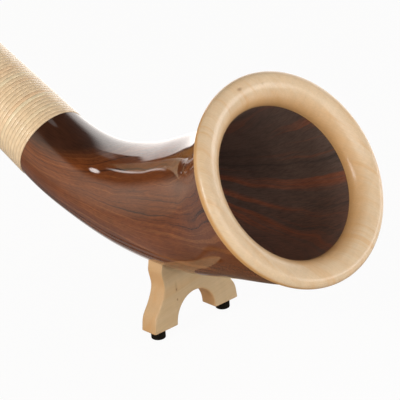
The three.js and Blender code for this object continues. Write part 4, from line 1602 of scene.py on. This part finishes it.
def studio(f):
    """Colour of the studio round the horn, by direction.

    Azimuth and elevation are in degrees, and the azimuth runs from +X towards +Y. Behind
    the horn hangs a white sweep, whose side edge leans low down: the lean is the azimuth
    less 0.72 of the elevation, less that of the edge. A dim arch lies beyond that edge,
    higher up. Then come a strip of warm wood, a narrow slit of light, and walls that are
    a little warm, brightest above the level and dark overhead. There are two small round
    lamps. The ground is pale under the sweep, with two dark lines, and dark beside it.
    """
    towards = f.place("Generated")
    x, y, z = f.split(towards)
    azimuth = f.maths("DEGREES", f.maths("ARCTAN2", y * -1, x * -1)) + 180
    elevation = f.maths("DEGREES", f.maths("ARCSINE", z))

    lean = azimuth - elevation * 0.72 - 160.6
    low = f.fade(elevation, 9.0, 11.5)
    edge = f.fade(lean, -0.7, 0.7) * low + f.fade(azimuth, 160.0, 162.0) * (1 - low)
    start = f.rise(azimuth, 70, 95)
    sweep = edge * f.fade(elevation, 20, 38) * start * 1.75

    arch = f.range(azimuth, 169.0, 172.0, 0.45, 0.0) * start
    arch = arch * f.range(elevation, 20.5, 24.0) * f.range(elevation, 27.0, 34.0, 1.0, 0.0)

    strip = f.range(lean, 5.0, 9.0, 1.0, 0.0) * f.range(lean, 0.8, 2.2) * low
    above_bend = f.maths("MAXIMUM", elevation - 10, 0.0)
    beside = f.maths("ABSOLUTE", azimuth - above_bend * 0.4 - elevation * 0.06 - 178.8)
    slit = f.fade(beside, 0.2, 2.0) * f.range(elevation, 18, 22, 1.0, 0.0)
    slit = slit * f.range(elevation, 5, 12, 0.0, 3.6)

    walls = f.rise(azimuth - elevation - 179, 0, 14)
    walls = walls * f.range(elevation, -20, -4, 0.45, 1.0)
    level = f.range(elevation, 14, 24, 0.84, 1.12, smooth=True)
    level = level * f.range(elevation, 32, 58, 1.0, 0.21, smooth=True)
    walls = walls * level
    lamps = spot(f, towards, 194.3, 22, 2.6, 8.0) + spot(f, towards, 158, 75, 5.5, 1.0)
    around = (1 - start) * 0.4 + 0.02
    above = f.maths("MAXIMUM", sweep, arch) + slit + walls + lamps + around

    ground_lean = f.maths("MAXIMUM", azimuth - 177, azimuth - elevation * 2.75 - 273.5)
    ground = f.range(ground_lean, -30, -16, 0.9, 0.24, smooth=True)
    lines = dark_line(f, azimuth, 176, 0.8, 2.4) + dark_line(f, azimuth, 165, 1.4, 3.4)
    ground = ground * (1 - lines * f.range(elevation, -30, -33) * 0.9)

    below = f.fade(elevation, -22, -17)
    brightness = ground * below + above * (1 - below)
    walls = walls * (1 - below)
    green = brightness * 0.95 - walls * 0.07
    tinted = f.join(brightness, green, brightness * 0.915 - walls * 0.18)
    return f.mix(strip * (1 - below), tinted, settings().stage.strip)


def add_world():
    """White to the camera and through clear pieces, and the studio to all other rays."""
    world = bpy.data.worlds.new("world")
    bpy.context.scene.world = world
    f = Finish(world)
    shade = f.mix(unseen_rays(f), studio(f), (1, 1, 1))
    light = f.node("Background", None, {"Color": shade, "Strength": 1.0})
    f.node("OutputWorld", None, {"Surface": light})


def add_lamps():
    """Area lamps that face the horn's bell. A lamp's power is its face's brightness times
    its area times pi."""
    centre = Vector((FOOT_X, 0, settings().stage.target_height))
    for name, azimuth, elevation, distance, width, height, brightness in LAMPS:
        away = direction(math.radians(azimuth), math.radians(elevation))
        lamp = bpy.data.lights.new(name, "AREA")
        lamp.shape = "RECTANGLE"
        lamp.size, lamp.size_y = width, height
        lamp.energy = brightness * width * height * math.pi
        holder = into_scene(name, lamp)
        holder.location = centre + away * distance
        holder.rotation_euler = away.to_track_quat("Z", "Y").to_euler()
        holder.visible_camera = False


class ALPHORN_PT_panel(bpy.types.Panel):
    """Lists the operators in the sidebar."""

    bl_idname = "ALPHORN_PT_panel"
    bl_label = "Alphorn"
    bl_space_type = "VIEW_3D"
    bl_region_type = "UI"
    bl_category = "Alphorn"

    def draw(self, context):
        for operator in OPERATORS:
            self.layout.operator(operator.bl_idname)


OPERATORS = [
    ALPHORN_OT_bell,
    ALPHORN_OT_rim,
    ALPHORN_OT_tubes,
    ALPHORN_OT_cane,
    ALPHORN_OT_brass,
    ALPHORN_OT_o_rings,
    ALPHORN_OT_mouthpiece,
    ALPHORN_OT_foot,
    ALPHORN_OT_rubber_feet,
    ALPHORN_OT_stage,
]
GROUPS = [
    CourseSizes,
    BellSizes,
    TubeSizes,
    EndSizes,
    FootSizes,
    FinishColours,
    StageSettings,
    AlphornSettings,
]
CLASSES = [*GROUPS, *OPERATORS, ALPHORN_PT_panel]


def register():
    """Registers the classes and gives each scene its settings."""
    for item in CLASSES:
        bpy.utils.register_class(item)
    bpy.types.Scene.alphorn = PointerProperty(type=AlphornSettings)


def unregister():
    """Takes the settings and the classes away again."""
    del bpy.types.Scene.alphorn
    for item in reversed(CLASSES):
        bpy.utils.unregister_class(item)


def main():
    """Builds the horn and its stage."""
    register()
    for operator in OPERATORS:
        group, name = operator.bl_idname.split(".")
        getattr(getattr(bpy.ops, group), name)()


if __name__ == "__main__":
    main()
